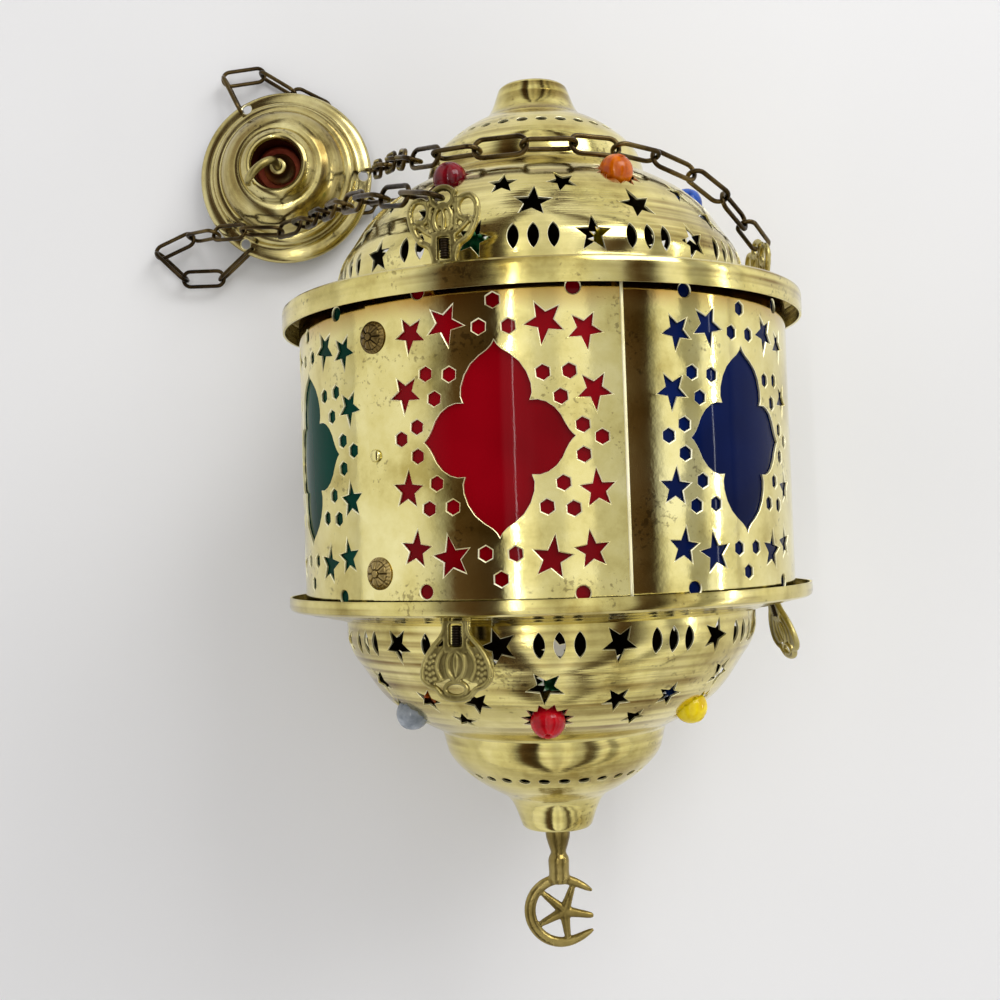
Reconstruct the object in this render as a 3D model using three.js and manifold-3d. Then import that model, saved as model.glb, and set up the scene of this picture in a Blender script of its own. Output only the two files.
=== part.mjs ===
// A hanging lantern of pierced sheet brass, lying on its side with its chains and ceiling cup beside it.
// Millimetres, +Z up. The origin is the middle of the flat on which the lower rim rests.
// Lantern parts are made about an upright axis, height 0 at the middle of the windows, and then laid down.

import * as THREE from 'three';
import * as BufferGeometryUtils from 'three/addons/utils/BufferGeometryUtils.js';
import Module from 'manifold-3d';

const wasm = await Module();
wasm.setup();

// Fits and sheet
const sheet = 0.8;
const seatGap = 0.3;
const loose = 0.7;

// Rims and body
const rimRadius = 100;
const rimFacets = 30;
const bodyRadius = 93.7;
const bodyHeight = 112.4;
const bodyBelowCentre = 54.4;
const skirtDepth = 9;
const lipHeight = 5;
const upperRimBend = 1.6;
const lowerRimBend = [2, 1];

// Domes, the same spinning used above and below: [radius, rise above the rim plate]
const domeFoot = 79.2;
const waistRadius = 43.6;
const waistRise = 48.2;
const domeStations = [
  [domeFoot, 0.4], [78.3, 12], [72.8, 22.5], [66.7, 31.5], [54.7, 41.8], [waistRadius, waistRise],
  [41.2, 56], [34.5, 64], [26, 70.5], [18.8, 74.5], [13.8, 85.4],
];
const domeRise = 87.4;
const topMouthRadius = 10;

// Windows and stars of one panel
const panelCount = 6;
const firstPanelAngle = -9.2;
const neighbourAngle = 55.7;
const windowHalfHeight = 31.8;
const windowHalfWidth = 25.3;
const windowCusp = [10.9, 11.9];
const upperLobe = [11.6, 16.8];
const sideLobe = [17.6, 10.4];
const starRadius = 5.9;
const starWaist = 0.42;
const panelStars = [[29.5, 35.5], [16.5, 38]];
const paneGapAngle = 3.5;
const paneThickness = 0.8;
const paneInset = 2;
const closingAngles = [-29.1, 25.7];
const wrapLap = 4.5;
const paneEdge = 1.2;

// Studs that close the seam
const seamAngle = -36.4;
const rosetteHeights = [38, -41];
const rosetteRadius = 5.5;
const rosetteRise = 2.4;
const shankRadius = 1.2;
const studFacets = 12;
const rivetHeight = -1.7;
const rivetRadius = 2.2;
const rivetRise = 1.2;

// Cast ears
const earCount = 3;
const firstEarAngle = -20;
const earThickness = 2.2;
const earHeight = 27.5;
const earFootWidth = 9.6;
const earShoulder = { out: 10.4, up: 11.4 };
const earSlot = { width: 4.2, height: 8, up: 2 };
const earLobe = { out: 8.2, up: 17.3, radius: 4.2, hole: 2.8 };
const earCrown = { radius: 5.6, hole: 2.6, bar: 1.9 };
const earLeaf = { out: 2.8, up: 15.5, halfWidth: 1.6, halfHeight: 3.7 };
const lowerEarLean = [4, 16, 4];
const earRadius = (rimRadius + domeFoot) / 2;

// Glass beads pushed through the domes
const beadCount = 6;
const beadRadius = 6.1;
const beadRise = 38.5;
const beadSunk = -0.4;
const upperBeadAngle = -31;
const lowerBeadAngle = -2;

// Finial, its nut and the candle cup inside
const stemRadius = 4.8;
const collarLength = 3;
const stemWaist = 2.9;
const stemWaistDown = 10;
const bulgeRadius = 4;
const bulgeDown = 13;
const stemLength = 20.6;
const crescentSunk = 2;
const crescentRadius = 14;
const crescentBand = 3.4;
const crescentShift = 1.9;
const crescentThickness = 3;
const hornAngle = 34;
const innerHornAngle = 48;
const finialStarTurn = -24;
const finialStarWaist = 0.26;
const finialStarSunk = 0.4;
const studRadius = 2;
const studTip = 4;
const nutRadius = 4.6;
const nutThickness = 3.2;
const cupRadius = 13;
const cupDepth = 20;
const cupFootLength = 26;
const cupFootWall = 1.8;
const cupBend = 3;

// Ceiling cup, its hook and nut
const canopyStations = [
  [40, 0], [39.6, 1.6], [34.2, 2.6], [32.4, 6], [26.5, 14], [20, 18],
  [12.8, 24.6], [11, 23], [10.6, 13.4],
];
const canopyFacets = 18;
const canopyCentre = [-116, 193];
const canopyHoleRadius = 2.45;
const canopyHoleCircle = 36.5;
const canopyFirstHole = 2;
const hookWire = 1.9;
const hookShank = 13.6;
const hookBend = 7.6;
const hookTurn = 219;
const hookHead = 4.6;
const hookHeadThickness = 3;
const hookNutRadius = 7;
const hookNutRise = 6;
const hookNutEdge = 1.4;

// Chains
const wireRadius = 0.9;
const linkHalfWidth = 4.4;
const linkPitch = 17.6;
const linkSides = 5;
const linkFuse = 0.8;
const chainSplits = [[0.25, 0.5, 0.75], [0.25, 0.48, 0.71], [0.33, 0.67]];
const chainEars = [1, 0, 2];
const chainHoles = [0, 2, 1];
const chainLift = 4.8;

const brass = new THREE.MeshStandardMaterial({ color: 0xc9bd6a, roughness: 0.28, metalness: 1 });
const castBrass = new THREE.MeshStandardMaterial({ color: 0x8f8347, roughness: 0.5, metalness: 1 });
const darkBronze = new THREE.MeshStandardMaterial({ color: 0x3a3026, roughness: 0.45, metalness: 1 });
const paneColours = [0x7a0a12, 0x101a5c, 0x0c4630, 0x7a0a12, 0x101a5c, 0x0c4630];
const upperBeadColours = [0x7a0f1c, 0xd96a12, 0x1f4fa8, 0xe0c21c, 0x2f8a4a, 0x9aa2ac];
const lowerBeadColours = [0xb5121f, 0xe0c21c, 0x1f4fa8, 0x2f8a4a, 0xd96a12, 0x9aa2ac];

const radians = THREE.MathUtils.degToRad;
const v3 = (x, y, z) => new THREE.Vector3(x, y, z);

// Heights along the upright axis that several pieces share
const lowerPlateTop = -bodyBelowCentre;
const lowerPlateBottom = lowerPlateTop - sheet;
const upperPlateBottom = lowerPlateTop + bodyHeight;
const upperPlateTop = upperPlateBottom + sheet;
const rimFlat = rimRadius * Math.cos(Math.PI / rimFacets);

// Closed, joined and cut geometry

function signedVolume(geometry) {
  const p = geometry.attributes.position;
  const index = geometry.index;
  const a = v3(), b = v3(), c = v3();
  let sum = 0;
  for (let i = 0; i < index.count; i += 3) {
    a.fromBufferAttribute(p, index.getX(i));
    b.fromBufferAttribute(p, index.getX(i + 1));
    c.fromBufferAttribute(p, index.getX(i + 2));
    sum += a.dot(b.cross(c)) / 6;
  }
  return sum;
}

// Merges shared vertices and turns the faces outwards
function closed(geometry) {
  const bare = geometry.clone();
  for (const name of ['normal', 'uv']) bare.deleteAttribute(name);
  const merged = BufferGeometryUtils.mergeVertices(bare, 1e-4);
  const kept = [];
  const index = merged.index;
  for (let i = 0; i < index.count; i += 3) {
    const t = [index.getX(i), index.getX(i + 1), index.getX(i + 2)];
    if (t[0] !== t[1] && t[1] !== t[2] && t[2] !== t[0]) kept.push(...t);
  }
  merged.setIndex(kept);
  if (signedVolume(merged) < 0) {
    for (let i = 0; i < kept.length; i += 3) [kept[i], kept[i + 1]] = [kept[i + 1], kept[i]];
    merged.setIndex(kept);
  }
  return merged;
}

function toSolid(geometry) {
  const g = closed(geometry);
  return new wasm.Manifold(new wasm.Mesh({
    numProp: 3,
    vertProperties: new Float32Array(g.attributes.position.array),
    triVerts: new Uint32Array(g.index.array),
  }));
}

function fromSolid(solid) {
  const mesh = solid.getMesh();
  const geometry = new THREE.BufferGeometry();
  geometry.setAttribute('position', new THREE.BufferAttribute(new Float32Array(mesh.vertProperties), 3));
  geometry.setIndex(new THREE.BufferAttribute(new Uint32Array(mesh.triVerts), 1));
  return geometry;
}

const cutAll = (geometry, tools) =>
  fromSolid(tools.reduce((solid, tool) => solid.subtract(toSolid(tool)), toSolid(geometry)));
const joinAll = (pieces) =>
  fromSolid(pieces.slice(1).reduce((solid, piece) => solid.add(toSolid(piece)), toSolid(pieces[0])));

// Turned about the upright axis, with a flat facet towards the back, on which the lantern lies
function turned(profile, facets) {
  const points = profile.map(([r, h]) => new THREE.Vector2(Math.max(r, 0), h));
  const geometry = new THREE.LatheGeometry(points, facets, Math.PI / facets, 2 * Math.PI);
  return closed(geometry.rotateX(Math.PI / 2));
}

// A wall of even thickness on the right-hand side of an open outline
function walled(outline, thickness) {
  const inner = outline.map(([r, h], i) => {
    const [r0, h0] = outline[Math.max(i - 1, 0)];
    const [r1, h1] = outline[Math.min(i + 1, outline.length - 1)];
    const before = new THREE.Vector2(r - r0, h - h0).normalize();
    const after = new THREE.Vector2(r1 - r, h1 - h).normalize();
    if (i === 0) before.copy(after);
    if (i === outline.length - 1) after.copy(before);
    const along = before.clone().add(after).normalize();
    const reach = Math.min(thickness / Math.max(along.dot(after), 0.5), 2 * thickness);
    return [r - along.y * reach, h + along.x * reach];
  });
  return [...outline, ...inner.reverse(), outline[0]];
}

// A frame on the lantern's side: x round the lantern, y up its axis, z outwards
function sideFrame(angle, radius, height) {
  const a = radians(angle);
  const round = v3(Math.cos(a), Math.sin(a), 0);
  const out = v3(Math.sin(a), -Math.cos(a), 0);
  const frame = new THREE.Matrix4().makeBasis(round, v3(0, 0, 1), out);
  return frame.setPosition(out.clone().multiplyScalar(radius).setZ(height));
}

function prism(shape, from, to, curveSegments = 4) {
  const geometry = new THREE.ExtrudeGeometry(shape, {
    depth: to - from, bevelEnabled: false, steps: 1, curveSegments,
  });
  return geometry.translate(0, 0, from);
}

const meshOf = (name, geometry, material) => {
  const mesh = new THREE.Mesh(geometry, material);
  mesh.name = name;
  return mesh;
};

// Radius of the dome's outside at a rise above its plate, and the outward slope there
function domeAt(rise) {
  let i = 1;
  while (i < domeStations.length - 1 && domeStations[i][1] < rise) i += 1;
  const [r0, h0] = domeStations[i - 1];
  const [r1, h1] = domeStations[i];
  const along = new THREE.Vector2(r1 - r0, h1 - h0).normalize();
  return { radius: r0 + ((r1 - r0) * (rise - h0)) / (h1 - h0), out: along.y, up: -along.x };
}

// A bead's place: its middle lies a little inside the dome's wall
function beadPlace(angle, side) {
  const wall = domeAt(beadRise);
  const plate = side > 0 ? upperPlateTop : lowerPlateBottom;
  const radius = wall.radius - wall.out * beadSunk;
  const height = plate + side * (beadRise - wall.up * beadSunk);
  const a = radians(angle);
  const centre = v3(Math.sin(a) * radius, -Math.cos(a) * radius, height);
  const out = v3(Math.sin(a) * wall.out, -Math.cos(a) * wall.out, side * wall.up);
  return { centre, out };
}

function beadHole({ centre, out }) {
  const drill = new THREE.CylinderGeometry(beadRadius + loose, beadRadius + loose, 4 * beadRadius, 8);
  drill.applyQuaternion(new THREE.Quaternion().setFromUnitVectors(v3(0, 1, 0), out));
  return drill.translate(centre.x, centre.y, centre.z);
}

// Spun domes

function spunDome(side, rimOutline, endOutline, holes) {
  const plate = side > 0 ? upperPlateTop : lowerPlateBottom;
  const outline = [...rimOutline, ...domeStations, ...endOutline];
  const profile = walled(outline, sheet).map(([r, rise]) => [r, plate + side * rise]);
  return cutAll(turned(profile, rimFacets), holes);
}

function makeTopDome() {
  const rim = [[rimRadius, -skirtDepth], [rimRadius, -upperRimBend], [rimRadius - upperRimBend, 0]];
  const mouth = [[topMouthRadius, domeRise]];
  const holes = beadAngles(upperBeadAngle).map((angle) => beadHole(beadPlace(angle, 1)));
  return spunDome(1, rim, mouth, holes);
}

function makeBottomBowl() {
  const [across, down] = lowerRimBend;
  const rim = [[rimRadius, -lipHeight], [rimRadius, -down], [rimRadius - across, 0]];
  const end = [[topMouthRadius, domeRise], [studRadius + seatGap, domeRise]];
  const holes = beadAngles(lowerBeadAngle).map((angle) => beadHole(beadPlace(angle, -1)));
  return spunDome(-1, rim, end, holes);
}

const beadAngles = (first) => Array.from({ length: beadCount }, (_, i) => first + (i * 360) / beadCount);
const earAngles = Array.from({ length: earCount }, (_, i) => firstEarAngle + (i * 360) / earCount);
// The two panels beside the closing panel stand closer to it than the others stand to each other
const wrapPanelStep = (360 - 2 * neighbourAngle) / (panelCount - 2);
const panelAngles = Array.from({ length: panelCount }, (_, i) =>
  firstPanelAngle + (i ? neighbourAngle + (i - 1) * wrapPanelStep : 0));

// Body sheets

// A four-lobed window with pointed tips
function windowShape() {
  const [w, h] = [windowHalfWidth, windowHalfHeight];
  const quarter = [
    [0, h], [0.1 * w, 0.92 * h], [0.28 * w, 0.8 * h], [0.43 * w, 0.63 * h], upperLobe, windowCusp, sideLobe,
    [0.84 * w, 0.19 * h], [0.9 * w, 0.1 * h], [w, 0],
  ];
  const between = quarter.slice(1, -1);
  const flipped = (sx, sy, list) => list.map(([x, y]) => new THREE.Vector2(sx * x, sy * y));
  return new THREE.Shape([
    ...flipped(1, 1, quarter), ...flipped(1, -1, [...between].reverse()), new THREE.Vector2(0, -h),
    ...flipped(-1, -1, between), new THREE.Vector2(-w, 0), ...flipped(-1, 1, [...between].reverse()),
  ]);
}

function starShape(radius, waist, turn = 0) {
  const points = Array.from({ length: 10 }, (_, i) => {
    const a = radians(90 + turn + i * 36);
    const r = i % 2 ? radius * waist : radius;
    return new THREE.Vector2(r * Math.cos(a), r * Math.sin(a));
  });
  return new THREE.Shape(points);
}

// A drilled or punched tool through the body wall at an angle and height
const throughWall = (shape, angle, height) =>
  prism(shape, -6, 6).applyMatrix4(sideFrame(angle, bodyRadius, height));

function panelTools(centreAngle) {
  const tools = [throughWall(windowShape(), centreAngle, 0)];
  const perRadian = 180 / Math.PI / bodyRadius;
  panelStars.forEach(([across, up], row) => {
    for (const sx of [-1, 1]) {
      for (const sy of [-1, 1]) {
        const turn = sx * sy * (9 + 11 * row);
        const star = starShape(starRadius, starWaist, turn);
        tools.push(throughWall(star, centreAngle + sx * across * perRadian, sy * up));
      }
    }
  });
  return tools;
}

// Radius of the many-sided body in one direction, from the radius of its corners; a facet faces the floor
const facetAngle = 360 / rimFacets;
function facetRadius(cornerRadius, angle) {
  const fromMiddle = angle - 180 - Math.round((angle - 180) / facetAngle) * facetAngle;
  return (cornerRadius * Math.cos(radians(facetAngle / 2))) / Math.cos(radians(fromMiddle));
}

// A curved sheet between two angles, bent at the body's corners
function curvedSheet(outer, thickness, fromAngle, toAngle, fromHeight, toHeight) {
  const angles = [fromAngle];
  const firstCorner = Math.floor(fromAngle / facetAngle + 0.5) * facetAngle + facetAngle / 2;
  for (let a = firstCorner; a < toAngle - 0.01; a += facetAngle) angles.push(a);
  angles.push(toAngle);
  const arc = (corner) => angles.map((angle) => {
    const radius = facetRadius(corner, angle);
    return new THREE.Vector2(radius * Math.sin(radians(angle)), -radius * Math.cos(radians(angle)));
  });
  const shape = new THREE.Shape([...arc(outer), ...arc(outer - thickness).reverse()]);
  return closed(prism(shape, fromHeight, toHeight));
}

const bodyFrom = lowerPlateTop + seatGap;
const bodyTo = upperPlateBottom - seatGap;
const closingFrom = firstPanelAngle + closingAngles[0];
const closingTo = firstPanelAngle + closingAngles[1];
const closingOuter = bodyRadius + sheet + seatGap;
const paneFrom = bodyFrom + paneInset;
const paneTo = bodyTo - paneInset;

const studHoles = () => [...rosetteHeights, rivetHeight].map((height) =>
  throughWall(new THREE.Shape().absarc(0, 0, shankRadius + seatGap, 0, 2 * Math.PI), seamAngle, height));

function makeBodyWrap() {
  const wrap = curvedSheet(
    bodyRadius, sheet, closingTo - wrapLap, closingFrom + wrapLap + 360, bodyFrom, bodyTo);
  return cutAll(wrap, [...panelAngles.slice(1).flatMap(panelTools), ...studHoles()]);
}

function makeClosingPanel() {
  const panel = curvedSheet(closingOuter, sheet, closingFrom, closingTo, bodyFrom, bodyTo);
  return cutAll(panel, [...panelTools(panelAngles[0]), ...studHoles()]);
}

// Behind the closing panel the sheet stops short of the wrap's two edges
function makePane(index) {
  const middle = panelAngles[index];
  if (index === 0) {
    const [from, to] = [closingFrom + wrapLap + paneEdge, closingTo - wrapLap - paneEdge];
    return curvedSheet(closingOuter - sheet - seatGap, paneThickness, from, to, paneFrom, paneTo);
  }
  const outer = bodyRadius - sheet - seatGap;
  const halfAngle = 180 / panelCount - paneGapAngle;
  return curvedSheet(outer, paneThickness, middle - halfAngle, middle + halfAngle, paneFrom, paneTo);
}

// Studs

function studGeometry(headRadius, rise, height) {
  const shank = closingOuter - bodyRadius + 2 * sheet + seatGap;
  const profile = [
    [0, -shank], [shankRadius, -shank], [shankRadius, 0], [headRadius, 0], [headRadius * 0.92, rise * 0.45],
    [headRadius * 0.5, rise * 0.9], [0, rise],
  ];
  return turned(profile, studFacets).applyMatrix4(sideFrame(seamAngle, closingOuter + seatGap, height));
}

// Cast ears

function arcPoints(centreX, centreY, radius, from, to, steps) {
  return Array.from({ length: steps + 1 }, (_, i) => {
    const a = radians(from + ((to - from) * i) / steps);
    return new THREE.Vector2(centreX + radius * Math.cos(a), centreY + radius * Math.sin(a));
  });
}

const earCrownUp = earHeight - earCrown.radius;
const earHoleUp = earHeight - earCrown.bar - earCrown.hole;

function earGeometry() {
  const half = earFootWidth / 2;
  const { out, up, radius, hole } = earLobe;
  const { out: wide, up: shoulder } = earShoulder;
  const vector = ([x, y]) => new THREE.Vector2(x, y);
  const mirrored = (list) => list.map((p) => new THREE.Vector2(-p.x, p.y)).reverse();
  const rightSide = [
    ...[[half, 0], [half + 0.5, 0.3 * shoulder], [wide, shoulder]].map(vector),
    ...arcPoints(out, up, radius, -20, 125, 4),
  ];
  const crown = arcPoints(0, earCrownUp, earCrown.radius, -8, 188, 6);
  const shape = new THREE.Shape([...rightSide, ...crown, ...mirrored(rightSide)]);
  const round = (x, y, r) => arcPoints(x, y, r, 0, 300, 5).reverse();
  const { out: leaf, up: leafUp, halfWidth, halfHeight } = earLeaf;
  const rightLeaf = [
    [leaf, leafUp - halfHeight], [leaf - halfWidth, leafUp],
    [leaf, leafUp + halfHeight], [leaf + halfWidth, leafUp],
  ].map(vector);
  const slotHalf = earSlot.width / 2;
  const slotTop = earSlot.up + earSlot.height;
  const slot = [
    [-slotHalf, earSlot.up], [-slotHalf, slotTop], [slotHalf, slotTop], [slotHalf, earSlot.up],
  ].map(vector);
  const outlines = [
    round(out, up, hole), round(-out, up, hole), round(0, earHoleUp, earCrown.hole),
    rightLeaf, mirrored(rightLeaf), slot,
  ];
  shape.holes = outlines.map((points) => new THREE.Path(points));
  return closed(prism(shape, -earThickness / 2, earThickness / 2));
}

function placedEar(angle, side, lean) {
  const ear = earGeometry();
  if (side < 0) ear.rotateZ(Math.PI);
  ear.rotateX(side * radians(lean));
  const plate = side > 0 ? upperPlateTop : lowerPlateBottom;
  return ear.applyMatrix4(sideFrame(angle, earRadius, plate + side * (seatGap + Math.sin(radians(lean)))));
}

// Finial, nut and candle cup, from the lower neck's end upwards

const neckEnd = lowerPlateBottom - domeRise;
const nutFrom = neckEnd + sheet + seatGap;
const cupFootFrom = nutFrom + nutThickness + seatGap;
const cupFloor = cupFootFrom + cupFootLength;

function makeFinial() {
  const seat = neckEnd - seatGap;
  const stemEnd = neckEnd - stemLength;
  const stem = turned([
    [0, cupFloor + studTip], [studRadius, cupFloor + studTip], [studRadius, seat], [stemRadius, seat],
    [stemRadius, neckEnd - collarLength], [stemWaist, neckEnd - stemWaistDown],
    [bulgeRadius, neckEnd - bulgeDown], [bulgeRadius, stemEnd], [0, stemEnd],
  ], 12);
  const centre = stemEnd - crescentRadius + crescentSunk;
  const inner = crescentRadius - crescentBand;
  const crescent = new THREE.Shape([
    ...arcPoints(0, 0, crescentRadius, hornAngle, 360 - hornAngle, 16),
    ...arcPoints(crescentShift, 0, inner, 360 - innerHornAngle, innerHornAngle, 14),
  ]);
  const flat = (shape) => {
    const g = prism(shape, -crescentThickness / 2, crescentThickness / 2);
    return g.rotateX(Math.PI / 2).translate(0, 0, centre);
  };
  const arms = starShape(inner + finialStarSunk, finialStarWaist, finialStarTurn);
  return joinAll([stem, flat(crescent), flat(arms)]);
}

function hexNut(radius, bore, from, to, sides = 6) {
  return turned([[bore, from], [radius, from], [radius, to], [bore, to], [bore, from]], sides);
}

function makeCandleCup() {
  const bore = studRadius + seatGap;
  const foot = bore + cupFootWall;
  const inside = cupRadius - sheet;
  const rim = cupFloor + cupDepth;
  return turned([
    [bore, cupFootFrom], [foot, cupFootFrom], [foot, cupFloor - 1], [cupRadius * 0.7, cupFloor - 0.6],
    [cupRadius, cupFloor + cupBend], [cupRadius, rim], [inside, rim], [inside, cupFloor + cupBend + 0.4],
    [cupRadius * 0.66, cupFloor + sheet], [bore, cupFloor + sheet], [bore, cupFootFrom],
  ], 18);
}

// Ceiling cup, laid on the floor with its hollow side down

const canopyFloor = 2 * chainLift + seatGap;

function canopyPoint(angle, radius, height) {
  const a = radians(angle);
  const [x, y] = [canopyCentre[0] + radius * Math.cos(a), canopyCentre[1] + radius * Math.sin(a)];
  return v3(x, y, canopyFloor + height);
}

const canopyHoleAngles = [0, 1, 2].map((i) => canopyFirstHole + i * 120);
const canopyRimMiddle = 0.7 * canopyStations[1][1];
const canopyDisc = canopyStations.at(-1)[1];

function upright(geometry) {
  return geometry.translate(canopyCentre[0], canopyCentre[1], canopyFloor);
}

function makeCanopy() {
  const outline = [...canopyStations, [hookWire + seatGap, canopyDisc]];
  const cup = upright(turned(walled(outline, sheet), canopyFacets));
  const holes = canopyHoleAngles.map((angle) => {
    const place = canopyPoint(angle, canopyHoleCircle, 0);
    const drill = new THREE.CylinderGeometry(canopyHoleRadius, canopyHoleRadius, 20, 8).rotateX(Math.PI / 2);
    return drill.translate(place.x, place.y, place.z);
  });
  return cutAll(cup, holes);
}

function sweep(points, radius, sides, steps) {
  const ring = new THREE.Shape(arcPoints(0, 0, radius, 0, 360 - 360 / sides, sides - 1));
  const curve = new THREE.CatmullRomCurve3(points, false, 'centripetal');
  return new THREE.ExtrudeGeometry(ring, { steps, extrudePath: curve, bevelEnabled: false });
}

function makeHook() {
  const top = canopyDisc + hookShank;
  const side = (a) => {
    const reach = hookBend * (1 - Math.cos(radians(a)));
    return canopyPoint(hookTurn, reach, top + hookBend * Math.sin(radians(a)));
  };
  const underDisc = canopyDisc - sheet - seatGap;
  const shank = [canopyPoint(0, 0, underDisc - hookHeadThickness / 2), canopyPoint(0, 0, top - hookWire)];
  const rod = sweep([...shank, ...[0, 32, 64, 96, 128, 160, 192].map(side)], hookWire, 8, 20);
  const headFrom = underDisc - hookHeadThickness;
  const headOutline = [[0, headFrom], [hookHead, headFrom], [hookHead, underDisc], [0, underDisc]];
  const head = upright(turned(headOutline, 12));
  return joinAll([rod, head]);
}

function makeHookNut() {
  const from = canopyDisc + seatGap;
  const bore = hookWire + seatGap;
  return upright(turned([
    [bore, from], [hookNutRadius, from], [hookNutRadius, from + hookNutEdge],
    [bore + hookNutEdge, from + hookNutRise], [bore, from + hookNutRise], [bore, from],
  ], 12));
}

// From the upright lantern to the floor

const laidDown = new THREE.Matrix4().makeRotationX(-Math.PI / 2);
const lanternPlace = v3(0, -(lowerPlateBottom + lipHeight / 2 + 0.5), rimFlat);
laidDown.setPosition(lanternPlace);

// A place given round the lantern's axis: angle from the top of the lying lantern, radius and height
function besideLantern(angle, radius, height) {
  const a = radians(angle);
  return v3(Math.sin(a) * radius, -Math.cos(a) * radius, height).applyMatrix4(laidDown);
}

// Chain routes, each from its ear to its hole in the ceiling cup

const floorY = (height) => height + lanternPlace.y;
const waistHeight = upperPlateTop + waistRise;

// The point of the ear's crown, beside its hole, that lies towards the next point of the chain
function barTowards(index, next) {
  const angle = earAngles[index];
  const centre = besideLantern(angle, earRadius, upperPlateTop + seatGap + earHoleUp);
  const out = besideLantern(angle, earRadius + 1, upperPlateTop + seatGap + earHoleUp).sub(centre);
  const along = next.clone().sub(centre);
  along.addScaledVector(out, -along.dot(out)).normalize();
  const offset = earHoleUp - earCrownUp;
  const edge = Math.sqrt(earCrown.radius ** 2 - (offset * along.x) ** 2) - offset * along.y;
  const bar = centre.clone().addScaledVector(along, (earCrown.hole + edge) / 2);
  return { point: bar, axis: v3().crossVectors(out, along).normalize() };
}

const rimBarRadius = (canopyHoleCircle + canopyHoleRadius + canopyStations[0][0]) / 2;
function rimBar(index) {
  const angle = canopyHoleAngles[index];
  const a = radians(angle);
  return { point: canopyPoint(angle, rimBarRadius, canopyRimMiddle), axis: v3(-Math.sin(a), Math.cos(a), 0) };
}

const overWaist = waistRadius + 10;
const chainMiddles = [
  [
    besideLantern(84, 77.5, waistHeight - 16), besideLantern(73, 69, waistHeight - 8),
    besideLantern(61, 60, waistHeight - 2), besideLantern(46, overWaist, waistHeight + 1),
    besideLantern(20, overWaist, waistHeight + 1), besideLantern(-8, overWaist, waistHeight + 1),
    besideLantern(-34, overWaist, waistHeight + 1.6), besideLantern(-58, overWaist - 1, waistHeight + 5),
    v3(-57, floorY(126), 80), v3(-67, floorY(133), 46),
  ],
  [
    besideLantern(-34, 81, waistHeight - 19), besideLantern(-64, 75.5, waistHeight - 11.5),
    v3(-90, floorY(105), 78), v3(-104, floorY(110), 44), v3(-114, floorY(111), 30.5),
    v3(-128, floorY(112), 28.5), v3(-146, floorY(114), 19),
    v3(-163, floorY(115), 6.4), v3(-176.5, floorY(112), 5.6), v3(-178, floorY(102), 5.6),
    v3(-166, floorY(96), 5.6), v3(-150, floorY(95), 6.2),
  ],
  [
    v3(-47, floorY(99), 13), v3(-33, floorY(108), chainLift), v3(-28, floorY(120), chainLift),
    v3(-40, floorY(130), chainLift), v3(-62, floorY(129), chainLift), v3(-90, floorY(127), chainLift),
    v3(-122, floorY(126), chainLift), v3(-142, floorY(134), chainLift), v3(-139, floorY(147), chainLift),
    v3(-116, floorY(151), chainLift), v3(-97, floorY(154), chainLift), v3(-90, floorY(165), chainLift),
    v3(-100, floorY(176), chainLift), v3(-116, floorY(184), chainLift), v3(-130, floorY(193), chainLift),
    v3(-144, floorY(191), 5.6),
  ],
];

function chainRoute(index) {
  const middles = chainMiddles[index];
  const start = barTowards(chainEars[index], middles[0]);
  const end = rimBar(chainHoles[index]);
  return { points: [start.point, ...middles, end.point], start, end };
}

// Joints of the chain: points on the route, one pitch apart in a straight line
function stepAlong(curvePoints, pitch) {
  const joints = [curvePoints[0].clone()];
  for (let i = 1; i < curvePoints.length; i += 1) {
    const last = joints.at(-1);
    const [before, after] = [curvePoints[i - 1], curvePoints[i]];
    if (after.distanceTo(last) < pitch) continue;
    const step = after.clone().sub(before);
    const toBefore = before.clone().sub(last);
    const b = toBefore.dot(step);
    const c = toBefore.lengthSq() - pitch ** 2;
    const part = (-b + Math.sqrt(b * b - step.lengthSq() * c)) / step.lengthSq();
    joints.push(before.clone().addScaledVector(step, part));
    i -= 1;
  }
  return joints;
}

// The longest pitch at which a whole number of links still fits the route
function evenJoints(points) {
  const curve = new THREE.CatmullRomCurve3(points, false, 'centripetal').getSpacedPoints(600);
  const walked = stepAlong(curve, linkPitch);
  const left = walked.at(-1).distanceTo(curve.at(-1));
  const count = walked.length - 1 + Math.round(left / linkPitch);
  let [low, high] = [linkPitch * 0.8, linkPitch * 1.2];
  for (let k = 0; k < 40; k += 1) {
    const middle = (low + high) / 2;
    if (stepAlong(curve, middle).length > count) low = middle;
    else high = middle;
  }
  return [...stepAlong(curve, low).slice(0, count), curve.at(-1)];
}

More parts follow.
